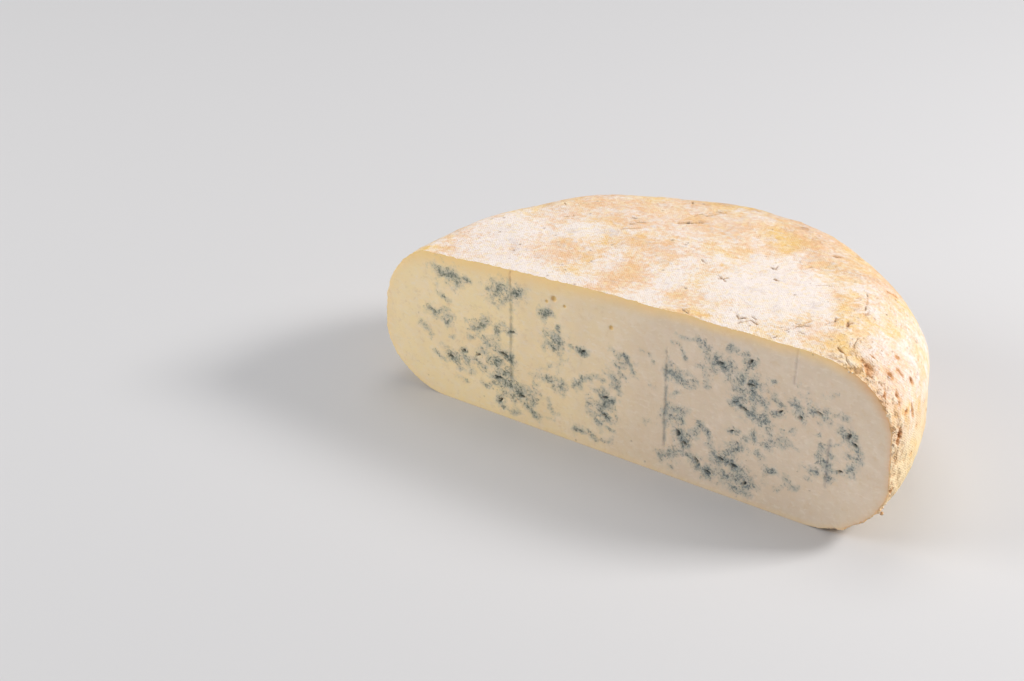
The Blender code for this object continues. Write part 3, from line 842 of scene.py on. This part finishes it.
class Graph:
    """Adds nodes to a shader or geometry tree and links them. Lengths are in millimetres."""

    def __init__(self, tree):
        self.tree = tree

    def add(self, kind, settings=None, values=None, out=0):
        """A node of a kind, with its settings, then its inputs by name or number."""
        node = self.tree.nodes.new(kind)
        for name, value in (settings or {}).items():
            setattr(node, name, value)
        for key, value in (values or {}).items():
            if isinstance(value, Wire):
                self.tree.links.new(value.socket, node.inputs[key])
            else:
                node.inputs[key].default_value = value
        return Wire(self, node.outputs[out])

    def math(self, operation, first, second=0.0):
        return self.add("ShaderNodeMath", {"operation": operation}, {0: first, 1: second})

    def largest(self, first, second):
        return self.math("MAXIMUM", first, second)

    def smooth(self, value, low, high):
        """0 at low, 1 at high, with a soft start and end; low may be the larger."""
        settings = {"interpolation_type": "SMOOTHSTEP"}
        return self.add("ShaderNodeMapRange", settings, {"Value": value, "From Min": low, "From Max": high})

    def mix(self, share, first, second, blend="MIX"):
        settings = {"data_type": "RGBA", "blend_type": blend}
        return self.add("ShaderNodeMix", settings, {0: share, 6: first, 7: second}, 2)

    def lay(self, colour, tone, value, low, high, share, blend="MIX"):
        """The tone over the colour: no share of it where value is low, and this share where it is high."""
        return self.mix(self.smooth(value, low, high) * share, colour, tone, blend)

    def stretch(self, point, factors):
        return self.add("ShaderNodeVectorMath", {"operation": "MULTIPLY"}, {0: point, 1: factors})

    def scale(self, vector, factor):
        return self.add("ShaderNodeVectorMath", {"operation": "SCALE"}, {0: vector, "Scale": factor})

    def shift(self, point, offset):
        return self.add("ShaderNodeVectorMath", {"operation": "ADD"}, {0: point, 1: offset})

    def split(self, point):
        node = self.tree.nodes.new("ShaderNodeSeparateXYZ")
        self.tree.links.new(point.socket, node.inputs[0])
        return [Wire(self, output) for output in node.outputs]

    def join(self, x, y, z):
        return self.add("ShaderNodeCombineXYZ", {}, {"X": x, "Y": y, "Z": z})

    def noise(self, point, size, detail=2.0, roughness=0.5, out=0):
        """Noise from 0 to 1, mostly about 0.5, with lumps about as long as size."""
        values = {"Vector": point, "Scale": 1 / size, "Detail": detail, "Roughness": roughness}
        return self.add("ShaderNodeTexNoise", {"noise_dimensions": "3D"}, values, out)

    def warp(self, point, size, reach):
        """The point moved about by coloured noise, up to about half of reach."""
        centred = self.shift(self.noise(point, size, out="Color"), (-0.5, -0.5, -0.5))
        return self.shift(point, self.scale(centred, reach))

    def cells(self, point, size):
        """Distance from 0 to about 1 to the nearest of points strewn about size apart."""
        return self.add("ShaderNodeTexVoronoi", {}, {"Vector": point, "Scale": 1 / size}, "Distance")

    def cell_walls(self, point, size):
        """0 on the walls between cells about size across, and up to about 0.5 inside them."""
        settings = {"feature": "DISTANCE_TO_EDGE"}
        return self.add("ShaderNodeTexVoronoi", settings, {"Vector": point, "Scale": 1 / size}, "Distance")


class ShaderGraph(Graph):
    """A new material's node tree, with what its maker asks of the mesh."""

    def __init__(self, name):
        self.material = bpy.data.materials.new(name)
        self.material.use_nodes = True
        super().__init__(self.material.node_tree)
        self.shader = self.tree.nodes["Principled BSDF"]

    def millimetres(self):
        return self.scale(self.add("ShaderNodeTexCoord", {}, {}, "Object"), 1 / MM)

    def attribute(self, name):
        return self.add("ShaderNodeAttribute", {"attribute_name": name}, {}, "Fac")

    def finish(self, colour, roughness, height, constants):
        """Joins colour, roughness and a height in millimetres to the shader, and sets its fixed values."""
        bump = self.add("ShaderNodeBump", {}, {"Strength": 1.0, "Distance": MM, "Height": height})
        for name, wire in (("Base Color", colour), ("Roughness", roughness), ("Normal", bump)):
            self.tree.links.new(wire.socket, self.shader.inputs[name])
        for name, value in constants.items():
            self.shader.inputs[name].default_value = value
        return self.material


THREAD_PITCH = 1.5                # of the cloth, in millimetres


def cloth_weave(g, point, side):
    """0 in the gaps and 1 on the threads of the cloth that pressed the rind, wandering a little."""
    x, y, z = g.split(g.warp(point, 16, 3.0))
    turn = 2 * math.pi / THREAD_PITCH
    around = g.math("ARCTAN2", y, x) * RADIUS
    on_top = g.math("SINE", x * turn) * g.math("SINE", y * turn)
    on_side = g.math("SINE", around * turn) * g.math("SINE", z * turn)
    return (on_top + (on_side - on_top) * g.smooth(side, 0.2, 0.8)) * 0.5 + 0.5


# The rind's and the paste's colours
PEACH = linear(242, 200, 156)
OCHRE = linear(228, 176, 106)
GOLD = linear(246, 208, 128)
BLOOM = linear(251, 245, 242)
SIDE_BLOOM = linear(252, 235, 196)
CREAM = linear(250, 232, 200)
BUTTER = linear(250, 230, 184)
MAUVE = linear(206, 190, 188)
MAUVE_WHITE = linear(232, 214, 202)
OLD_GOLD = linear(214, 156, 98)
LILAC = linear(226, 214, 218)
SPECK = linear(150, 106, 72)
PIT_RIM = linear(228, 168, 108)
# painted shade over the real orange-brown at the floor of the side's pits
PIT_FLOOR_RUST_AND_SHADE = linear(174, 116, 68)
BROWN = linear(188, 138, 92)
CRUST = linear(240, 200, 152)
# painted shade at the floor of the cracks in the top
CRACK_FLOOR_SHADE = linear(112, 94, 80)
TOP_RUST = linear(206, 170, 132)
# painted shade over brown at the floor of the top's cavities
TOP_HOLE_BROWN_AND_SHADE = linear(128, 106, 84)

IVORY = linear(229, 209, 185)
# painted reflection: the paste's tint where warm light thrown back from the rind falls on the cut's left
REFLECTED_WARM_IVORY = linear(253, 228, 178)
CURD = linear(248, 234, 218)
AMBER = linear(255, 215, 144)
TAN = linear(230, 188, 142)
CRUST_LINE = linear(226, 174, 112)
MOULD_HAZE = linear(170, 176, 168)
MOULD = linear(92, 112, 120)
MOULD_DARK = linear(40, 52, 60)
# painted reflection: the mould's tint where warm light thrown back from the rind falls on the cut's left
REFLECTION_GREENED_MOULD = linear(72, 94, 74)
NEEDLE_BROWN = linear(170, 108, 66)
NEEDLE_MAUVE = linear(178, 164, 162)
EYE_FLOOR = linear(230, 190, 112)
MOTTLE = linear(224, 196, 158)
CLOUD = linear(216, 190, 158)
PASTE_SPECK = linear(150, 128, 104)

# The crumbs' colours and the studio's
CRUMB_TAN = linear(226, 186, 142)
CRUMB_CREAM = linear(246, 228, 200)
FLOOR_GREY = linear(214, 214, 216)
SKY_GREY = linear(222, 224, 228)


def rind_paint():
    """Peach and gold rind under a white bloom that shows the cloth, with rust in its pits, and painted
    shade in the floors of its pits and cracks and in its low spots.
    """
    g = ShaderGraph("rind")
    point = g.millimetres()
    names = ("side", "back", "pit", "crack", "crease", "crust", "stands")
    side, back, pit, fissure, crease, crust, stands = (g.attribute(name) for name in names)
    weave = cloth_weave(g, point, side)
    height_up = g.split(point)[2]

    broad = g.noise(point, 34, 3)
    patch = g.noise(g.warp(point, 12, 8), 14, 5, 0.6)
    fine = g.noise(point, 3.0, 3, 0.62)
    grit = g.noise(point, 0.9, 2)
    smear = g.noise(g.stretch(g.warp(point, 20, 8), (0.4, 1.0, 1.0)), 4.5, 4, 0.62)

    ground = g.mix(g.smooth(broad + (fine - 0.5) * 0.5, 0.38, 0.62), PEACH, GOLD)
    ground = g.lay(ground, PEACH, g.attribute("peach") + (fine - 0.5), 0.1, 0.9, 0.8)
    ground = g.lay(ground, GOLD, g.attribute("gold") + (fine - 0.5), 0.1, 0.9, 0.85)
    ground = g.lay(ground, OCHRE, patch + (smear - 0.5) * 0.6, 0.48, 0.74, 0.6)
    ground = g.lay(ground, BROWN, smear + (grit - 0.5) * 0.3, 0.54, 0.74, 0.4)

    aged = g.noise(g.shift(point, (5, 5, 31)), 46, 3) + (patch - 0.5) * 0.7
    aged = g.smooth(aged, 0.40, 0.58) * back
    ground = g.mix(aged * g.smooth(patch + (fine - 0.5), 0.34, 0.58) * 0.8, ground, OLD_GOLD)
    push = g.attribute("white") * 0.20 - g.attribute("peach") * 0.11 - g.attribute("gold") * 0.20
    push = push - aged * 0.15 - back * 0.03 + g.smooth(crease, 0.5, 1.0) * 0.08
    low = g.smooth(height_up, 80, 45) * (1 - back)
    push = push - side * (1 - low) * 0.07
    cover = patch * 0.5 + smear * 0.3 + fine * 0.4 + push + weave * 0.07 + stands * 0.06
    bloom = g.smooth(cover + (grit - 0.5) * 0.2, 0.44, 0.72)
    colour = g.mix(bloom * 0.9, ground, g.mix(low, BLOOM, SIDE_BLOOM))
    colour = g.lay(colour, CREAM, g.noise(point, 9, 3), 0.56, 0.75, 0.3)
    butter = g.noise(g.shift(point, (3, 60, 8)), 3.4, 5, 0.72)
    colour = g.lay(colour, BUTTER, butter, 0.50, 0.64, 0.55)
    other = g.noise(g.shift(point, (40, 9, 3)), 17, 4, 0.62)
    colour = g.lay(colour, MAUVE, other + (fine - 0.5) * 0.4, 0.56, 0.74, 0.35 - side * 0.2)
    colour = g.lay(colour, LILAC, grit, 0.52, 0.34, 0.45, "MULTIPLY")
    colour = g.mix(g.smooth(weave, 0.45, 0.05) * 0.22 * (1 - crust), colour, OCHRE, "MULTIPLY")
    gaps = g.smooth(weave, 0.55, 0.1) * g.smooth(other + (fine - 0.5) * 0.5, 0.36, 0.56)
    colour = g.mix(gaps * aged * 0.75, colour, BROWN)
    strip = g.smooth(crease + (fine - 0.5) * 0.8, 0.4, 1.0) * back
    lip = g.smooth(crease, 0.05, 0.25) * g.smooth(crease, 0.55, 0.3) * g.smooth(patch, 0.42, 0.56) * back
    colour = g.mix(strip * 0.3, colour, MAUVE_WHITE)
    colour = g.mix(lip * 0.45, colour, OLD_GOLD)
    # Painted shade: darker ochre in the low spots of the wrinkles, grain and crust
    colour = g.lay(colour, OCHRE, stands, -0.05, -0.45, 0.25)

    # Crust: paler on its raised lumps, and brown in its cracks and low spots, partly real cracks and partly
    # painted shade between the lumps
    rough = g.noise(g.warp(point, 4, 4), 4.0, 5, 0.68)
    crack = g.smooth(rough + stands * 0.10, 0.47, 0.36) * crust
    colour = g.mix(crust * g.smooth(fine + (grit - 0.5) * 0.4, 0.36, 0.62) * 0.5, colour, CRUST)
    colour = g.mix(crust * g.smooth(stands, 0.1, 0.7) * 0.5, colour, SIDE_BLOOM)
    colour = g.mix(crack * 0.7, colour, BROWN)
    pores = g.smooth(g.cells(g.warp(point, 3, 2), 2.3), 0.34, 0.12)
    pores = pores * g.smooth(other + (fine - 0.5) * 0.6, 0.42, 0.58)
    pores = pores * g.smooth(side, 0.05, 0.4) * (1 - back)
    colour = g.mix(pores * 0.5, colour, PIT_RIM)
    speck = g.smooth(g.cells(g.warp(point, 4, 2), 8.5), 0.14, 0.06) * g.smooth(fine, 0.42, 0.55)
    colour = g.mix(speck * 0.55, colour, SPECK)
    rust = g.mix(side, TOP_RUST, PIT_RIM)
    # Painted shade over a real rust-brown: the floors of the cavities darker, grey-brown on the top and
    # orange-brown on the side
    floor = g.mix(side, TOP_HOLE_BROWN_AND_SHADE, PIT_FLOOR_RUST_AND_SHADE)
    colour = g.lay(colour, rust, pit + (fine - 0.5) * 0.7, 0.15, 0.75, 0.35 + side * 0.4)
    colour = g.lay(colour, floor, pit + (fine - 0.5) * 0.5, 0.72, 1.05, 0.8)
    colour = g.lay(colour, BROWN, fissure + (fine - 0.5) * 1.6, 0.25, 0.9, 0.5)
    # Painted shade: dark grey-brown at the floor of each crack
    colour = g.lay(colour, CRACK_FLOOR_SHADE, fissure + (grit - 0.5) * 1.2, 0.75, 1.15, 0.65)

    roughness = 0.74 + (fine - 0.5) * 0.16 + bloom * 0.06
    height = weave * 0.20 + fine * 0.6 + grit * 0.32 + smear * 0.4
    height = height - crack * 0.6 - speck * 0.25 - pores * 0.45
    return g.finish(colour, roughness, height, {"Specular IOR Level": 0.3})


def paste_paint():
    """Ivory paste with an amber band under the rind, and blue-green mould in the gaps of its curd; a
    painted reflection of the rind warms the paste and greens the mould towards the left.
    """
    g = ShaderGraph("blue_veined_paste")
    point = g.millimetres()
    x, y, z = g.split(point)
    names = ("rim", "core", "needle", "needle_mould")
    rim, core, needle, needle_mould = (g.attribute(name) for name in names)

    cloud = g.noise(point, 26, 3)
    curd = g.noise(g.warp(point, 9, 5), 6.5, 3)
    fleck = g.noise(g.stretch(g.warp(point, 7, 4), (0.5, 1.0, 1.0)), 2.2, 3, 0.6)
    grain = g.noise(point, 1.2, 2)
    drag = g.noise(g.stretch(point, (0.07, 1.0, 1.0)), 1.7, 3)

    # Painted reflection: the paste turns warmer and yellower towards the left of the cut, for light thrown
    # back from the other half's rind
    left = g.smooth(x + (cloud - 0.5) * 40, 50, -90)
    paste = g.mix(left * 0.9, IVORY, REFLECTED_WARM_IVORY)
    paste = g.lay(paste, CURD, curd, 0.42, 0.68, 0.22)
    paste = g.lay(paste, CURD, fleck, 0.52, 0.70, 0.35)
    mottle = g.noise(g.warp(g.shift(point, (7, 0, 90)), 4, 3), 3.4, 4, 0.62)
    paste = g.lay(paste, MOTTLE, mottle, 0.46, 0.30, 0.35)
    paste = g.lay(paste, CLOUD, cloud, 0.45, 0.62, 0.12)
    upper = g.smooth(z, 60, 90)
    right_end = g.smooth(x, 120, 146)
    band = 3.0 + upper * (4.0 + left * 4.0) + (drag - 0.5) * 3 + (curd - 0.5) * 3
    amber = g.smooth(rim, band + 1.5, -1.5)
    paste = g.mix(amber * (0.35 + upper * 0.5 + right_end * 0.3), paste, g.mix(right_end, AMBER, TAN))
    edge = g.smooth(rim + (grain - 0.5) * 1.2, 1.2, 0.2) * (0.12 + right_end * 0.5)
    paste = g.mix(edge, paste, CRUST_LINE)

    lump = g.noise(g.warp(point, 5, 3), 4.6, 4, 0.62)
    crumb = g.noise(g.warp(point, 2, 1.2), 1.15, 4, 0.66)
    gap = g.smooth(g.cell_walls(g.warp(point, 2.4, 2.6), 2.7), 0.22, 0.03)
    strand = g.noise(g.warp(point, 4, 3), 2.6, 3, 0.6) - 0.5
    line = g.smooth(g.largest(strand, 0 - strand), 0.055, 0.0)
    zone = g.attribute("vein") + (lump - 0.5) * 2.6 - 0.1
    ragged = zone + gap * 0.3 + line * 0.6 + (crumb - 0.5) * 1.5
    haze = g.smooth(zone + (mottle - 0.5) * 0.8, -0.45, 0.9)
    mould = g.smooth(ragged, 0.6, 1.35)
    dark = g.largest(g.smooth(ragged, 1.3, 2.0), g.smooth(core + (crumb - 0.5) * 0.6, 0.4, 0.95))
    # Painted reflection: the mould turns greener towards the left, under the same warm light thrown back
    # from the other half's rind
    blue = g.mix(left, MOULD, REFLECTION_GREENED_MOULD)
    colour = g.mix(haze * 0.78, paste, MOULD_HAZE)
    colour = g.mix(mould * 0.6, colour, blue)
    colour = g.mix(dark * 0.8, colour, MOULD_DARK)

    along = g.noise(g.stretch(point, (1.0, 1.0, 0.5)), 3.0, 3, 0.6)
    track = g.smooth(needle + (crumb - 0.5) * 2.2, 2.2, -0.2) * g.smooth(along, 0.3, 0.62)
    track_colour = g.mix(g.smooth(needle_mould, 0.35, 0.7), NEEDLE_MAUVE, blue)
    brown_track = g.smooth(x, -60, -66) * g.smooth(z, 84, 90)
    track_colour = g.mix(brown_track, track_colour, NEEDLE_BROWN)
    colour = g.mix(track * (0.25 + needle_mould * 0.42), colour, track_colour)
    colour = g.lay(colour, EYE_FLOOR, g.attribute("eye"), 0.05, 0.6, 0.75)
    speck = g.smooth(g.cells(g.warp(point, 5, 3), 12), 0.07, 0.035)
    colour = g.mix(speck * 0.4, colour, PASTE_SPECK)

    roughness = 0.42 + (curd - 0.5) * 0.14 + mould * 0.22 + (grain - 0.5) * 0.08
    height = curd * 0.16 + grain * 0.08 + drag * 0.08 + fleck * 0.12
    height = height - haze * 0.06 - mould * 0.2 - dark * 0.3
    constants = {
        "Subsurface Weight": 0.18,
        "Subsurface Radius": (1.0, 0.62, 0.32),
        "Subsurface Scale": 0.004,
        "Specular IOR Level": 0.45,
    }
    return g.finish(colour, roughness, height, constants)


def crumb_paint():
    g = ShaderGraph("crumbs_of_rind")
    point = g.millimetres()
    fine = g.noise(point, 1.4, 2)
    colour = g.mix(g.smooth(g.noise(point, 7, 2), 0.42, 0.58), CRUMB_TAN, CRUMB_CREAM)
    colour = g.lay(colour, SPECK, fine, 0.55, 0.7, 0.5)
    return g.finish(colour, fine * 0.2 + 0.65, fine * 0.3, {"Specular IOR Level": 0.3})


class GeometryGraph(Graph):
    """A geometry tree that has named inputs, and the modifier that sets them."""

    def __init__(self, name, inputs):
        tree = bpy.data.node_groups.new(name, "GeometryNodeTree")
        super().__init__(tree)
        tree.interface.new_socket(name="Geometry", in_out="INPUT", socket_type="NodeSocketGeometry")
        tree.interface.new_socket(name="Geometry", in_out="OUTPUT", socket_type="NodeSocketGeometry")
        self.keys = {}
        for label, kind in inputs.items():
            made = tree.interface.new_socket(name=label, in_out="INPUT", socket_type=kind)
            self.keys[label] = made.identifier
        self.entry = tree.nodes.new("NodeGroupInput")

    def given(self, label):
        return Wire(self, self.entry.outputs[label])

    def field(self, name):
        settings = {"data_type": "FLOAT"}
        return self.add("GeometryNodeInputNamedAttribute", settings, {"Name": name}, "Attribute")

    def close(self, geometry):
        end = self.tree.nodes.new("NodeGroupOutput")
        self.tree.links.new(geometry.socket, end.inputs[0])

    def apply_to(self, obj, values):
        """Runs the tree on an object with these inputs, and leaves the result as its plain mesh."""
        modifier = obj.modifiers.new(self.tree.name, "NODES")
        modifier.node_group = self.tree
        for label, value in values.items():
            modifier[self.keys[label]] = value
        evaluated = obj.evaluated_get(bpy.context.evaluated_depsgraph_get())
        mesh = bpy.data.meshes.new_from_object(evaluated)
        obj.modifiers.remove(modifier)
        mesh.name = obj.name
        obj.data = mesh
        return obj


FLOAT_INPUT = "NodeSocketFloat"
MATERIAL_INPUT = "NodeSocketMaterial"
FULL_TURN = 6.28                  # radians, near enough for a random turn

# The grain of the surfaces: each size and depth in millimetres
GRAIN = {
    "Wrinkle Size": 7.5,
    "Wrinkle Depth": 1.4,
    "Grain Size": 2.6,
    "Grain Depth": 0.7,
    "Crust Size": 5.5,
    "Crust Depth": 6.5,
    "Curd Size": 9.0,
    "Curd Depth": 0.6,
    "Drag Depth": 0.22,
}


def grain_tree():
    """Pushes the rind out and in by wrinkles, grain and crust, and the cut by curd and knife drag."""
    kinds = {label: FLOAT_INPUT for label in GRAIN}
    kinds.update({"Rind": MATERIAL_INPUT, "Paste": MATERIAL_INPUT})
    g = GeometryGraph("surface grain", kinds)
    point = g.scale(g.add("GeometryNodeInputPosition"), 1 / MM)
    rind = g.field("rind")
    crust = g.field("crust")
    side = g.field("side")

    wrinkle = g.noise(point, g.given("Wrinkle Size"), 3.0) - 0.5
    grain = g.noise(point, g.given("Grain Size")) - 0.5
    rough = g.noise(point, g.given("Crust Size"), 4.0, 0.65) - 0.5
    rind_height = (
        wrinkle * g.given("Wrinkle Depth") * (1 - side * 0.3)
        + grain * g.given("Grain Depth")
        + rough * g.given("Crust Depth") * crust
    )
    curd = g.noise(point, g.given("Curd Size"), 3.0) - 0.5
    drag = g.noise(g.stretch(point, (0.06, 1.0, 1.0)), 2.0) - 0.5
    cut = g.field("cut")
    cut_height = curd * g.given("Curd Depth") + drag * g.given("Drag Depth")
    height = rind_height * rind + cut_height * cut
    offset = g.scale(g.add("GeometryNodeInputNormal"), height * MM)
    moved = g.add("GeometryNodeSetPosition", {}, {"Geometry": g.given("Geometry"), "Offset": offset})
    settings = {"data_type": "FLOAT", "domain": "POINT"}
    kept = g.add(
        "GeometryNodeStoreNamedAttribute", settings, {"Geometry": moved, "Name": "stands", "Value": height}
    )
    whole = g.add("GeometryNodeRealizeInstances", {}, {"Geometry": kept})
    painted = g.add("GeometryNodeSetMaterial", {}, {"Geometry": whole, "Material": g.given("Rind")})
    last = {"Geometry": painted, "Selection": g.field("in_cut"), "Material": g.given("Paste")}
    g.close(g.add("GeometryNodeSetMaterial", {}, last))
    return g


def crumbs_tree():
    """Strews crumbs of rind on a surface by its crumbly attribute, and on the object's own points."""
    inputs = {
        "Surface": "NodeSocketObject",
        "Count Per Square Metre": FLOAT_INPUT,
        "Smallest": FLOAT_INPUT,
        "Largest": FLOAT_INPUT,
        "Paint": MATERIAL_INPUT,
    }
    g = GeometryGraph("crumbs of rind", inputs)
    surface = g.add("GeometryNodeObjectInfo", {}, {"Object": g.given("Surface")}, "Geometry")
    strewn = g.add(
        "GeometryNodeDistributePointsOnFaces",
        {"distribute_method": "RANDOM"},
        {"Mesh": surface, "Density": g.field("crumbly") * g.given("Count Per Square Metre"), "Seed": 4},
    )
    placed = g.add("GeometryNodeMeshToPoints", {}, {"Mesh": g.given("Geometry")})
    size = g.add(
        "FunctionNodeRandomValue",
        {"data_type": "FLOAT"},
        {2: g.given("Smallest"), 3: g.given("Largest"), "Seed": 7},
        1,
    )
    placed_size = g.field("crumb_size")
    turn = g.add(
        "FunctionNodeRandomValue",
        {"data_type": "FLOAT_VECTOR"},
        {0: (0, 0, 0), 1: 3 * (FULL_TURN,), "Seed": 9},
    )
    knock = g.noise(g.add("GeometryNodeInputPosition"), 0.45, 3.0, 0.6) - 0.5
    dent = g.scale(g.add("GeometryNodeInputNormal"), knock * 1.1)
    both = []
    for points, scale, levels in ((strewn, size * MM, 1), (placed, placed_size * MM, 3)):
        ball = g.add("GeometryNodeMeshIcoSphere", {}, {"Radius": 0.5, "Subdivisions": levels})
        lump = g.add("GeometryNodeSetPosition", {}, {"Geometry": ball, "Offset": dent})
        box = g.join(scale, scale, scale * 0.7)
        values = {"Points": points, "Instance": lump, "Rotation": turn, "Scale": box}
        both.append(g.add("GeometryNodeInstanceOnPoints", {}, values))
    joined = g.tree.nodes.new("GeometryNodeJoinGeometry")
    for part in both:
        g.tree.links.new(part.socket, joined.inputs[0])
    whole = g.add("GeometryNodeRealizeInstances", {}, {"Geometry": Wire(g, joined.outputs[0])})
    smooth = g.add("GeometryNodeSetShadeSmooth", {}, {"Geometry": whole})
    g.close(g.add("GeometryNodeSetMaterial", {}, {"Geometry": smooth, "Material": g.given("Paint")}))
    return g


CRUMBS_PER_SQUARE_METRE = 60000.0
CRUMB_SIZES = (0.5, 1.5)          # smallest and largest of the strewn ones

# Crumbs that hang on the crust, as (x, y, z, size)
CRUMBS = (
    (154.4, 3, 22.6, 3.2), (155.6, 4.2, 20.8, 1.9), (157.6, 3, 28.2, 1.5), (155, 5.6, 23.4, 1.5),
)


def crumbs_object(cheese, shift, paint):
    mesh = bpy.data.meshes.new("crumbs")
    spots = np.array(CRUMBS)
    mesh.from_pydata(spots[:, :3] * MM + shift, [], [])
    sizes = mesh.attributes.new("crumb_size", "FLOAT", "POINT")
    sizes.data.foreach_set("value", spots[:, 3].astype(np.float32))
    crumbs = new_object("crumbs", mesh)
    values = {
        "Surface": cheese,
        "Count Per Square Metre": CRUMBS_PER_SQUARE_METRE,
        "Smallest": CRUMB_SIZES[0],
        "Largest": CRUMB_SIZES[1],
        "Paint": paint,
    }
    return crumbs_tree().apply_to(crumbs, values)


CAMERA_PLACE = (816.5, -1301.4, 976.4)      # in the wheel's own frame, in millimetres
CAMERA_AZIMUTH = math.radians(34.4264)
CAMERA_ELEVATION = math.radians(30.3984)
CAMERA_LENS = 116.86
SENSOR_WIDTH = 36

# The studio's lights, as (name, place in metres, size, power, colour)
LIGHTS = (
    ("key", (1.2, 0.75, 1.05), 0.45, 23.5, (1.0, 0.97, 0.94)),
    ("overhead", (-0.3, 0.4, 1.7), 0.9, 5.8, (1.0, 0.97, 0.94)),
    ("fill", (-1.6, -1.1, 0.8), 1.2, 22, (1.0, 0.98, 0.94)),
)
LIGHTS_AIM = (0, 0, 0.04)
SKY_STRENGTH = 0.45
FLOOR_ROUGHNESS = 0.7
FLOOR_REACH = 6                   # metres to each side


def add_camera(shift):
    camera = bpy.data.cameras.new("camera")
    camera.lens = CAMERA_LENS
    camera.sensor_width = SENSOR_WIDTH
    obj = new_object("camera", camera)
    obj.location = np.array(CAMERA_PLACE) * MM + shift
    obj.rotation_euler = (math.pi / 2 - CAMERA_ELEVATION, 0, CAMERA_AZIMUTH)
    bpy.context.scene.camera = obj


def add_light(name, place, size, power, colour):
    """A square soft light at a place in metres that faces the cheese."""
    light = bpy.data.lights.new(name, "AREA")
    light.shape = "SQUARE"
    light.size = size
    light.energy = power
    light.color = colour
    obj = new_object(name, light)
    obj.location = place
    obj.rotation_euler = (Vector(LIGHTS_AIM) - Vector(place)).to_track_quat("-Z", "Y").to_euler()


def add_studio():
    mesh = bpy.data.meshes.new("floor")
    corners = [(x * FLOOR_REACH, y * FLOOR_REACH, 0) for x, y in ((-1, -1), (1, -1), (1, 1), (-1, 1))]
    mesh.from_pydata(corners, [], [(0, 1, 2, 3)])
    g = ShaderGraph("studio floor")
    g.shader.inputs["Base Color"].default_value = FLOOR_GREY
    g.shader.inputs["Roughness"].default_value = FLOOR_ROUGHNESS
    mesh.materials.append(g.material)
    floor = new_object("floor", mesh)
    for light in LIGHTS:
        add_light(*light)
    world = bpy.data.worlds.new("studio")
    world.use_nodes = True
    sky = world.node_tree.nodes["Background"]
    sky.inputs["Color"].default_value = SKY_GREY
    sky.inputs["Strength"].default_value = SKY_STRENGTH
    bpy.context.scene.world = world
    bpy.context.scene.view_settings.view_transform = "Standard"


rind = rind_paint()
paste = paste_paint()
cheese, shift = cheese_object((rind, paste))
grain_tree().apply_to(cheese, {**GRAIN, "Rind": rind, "Paste": paste})
crumbs = crumbs_object(cheese, shift, crumb_paint())
for piece in (cheese, crumbs):
    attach(piece, "root")
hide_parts("half_wheel")
add_camera(shift)
add_studio()
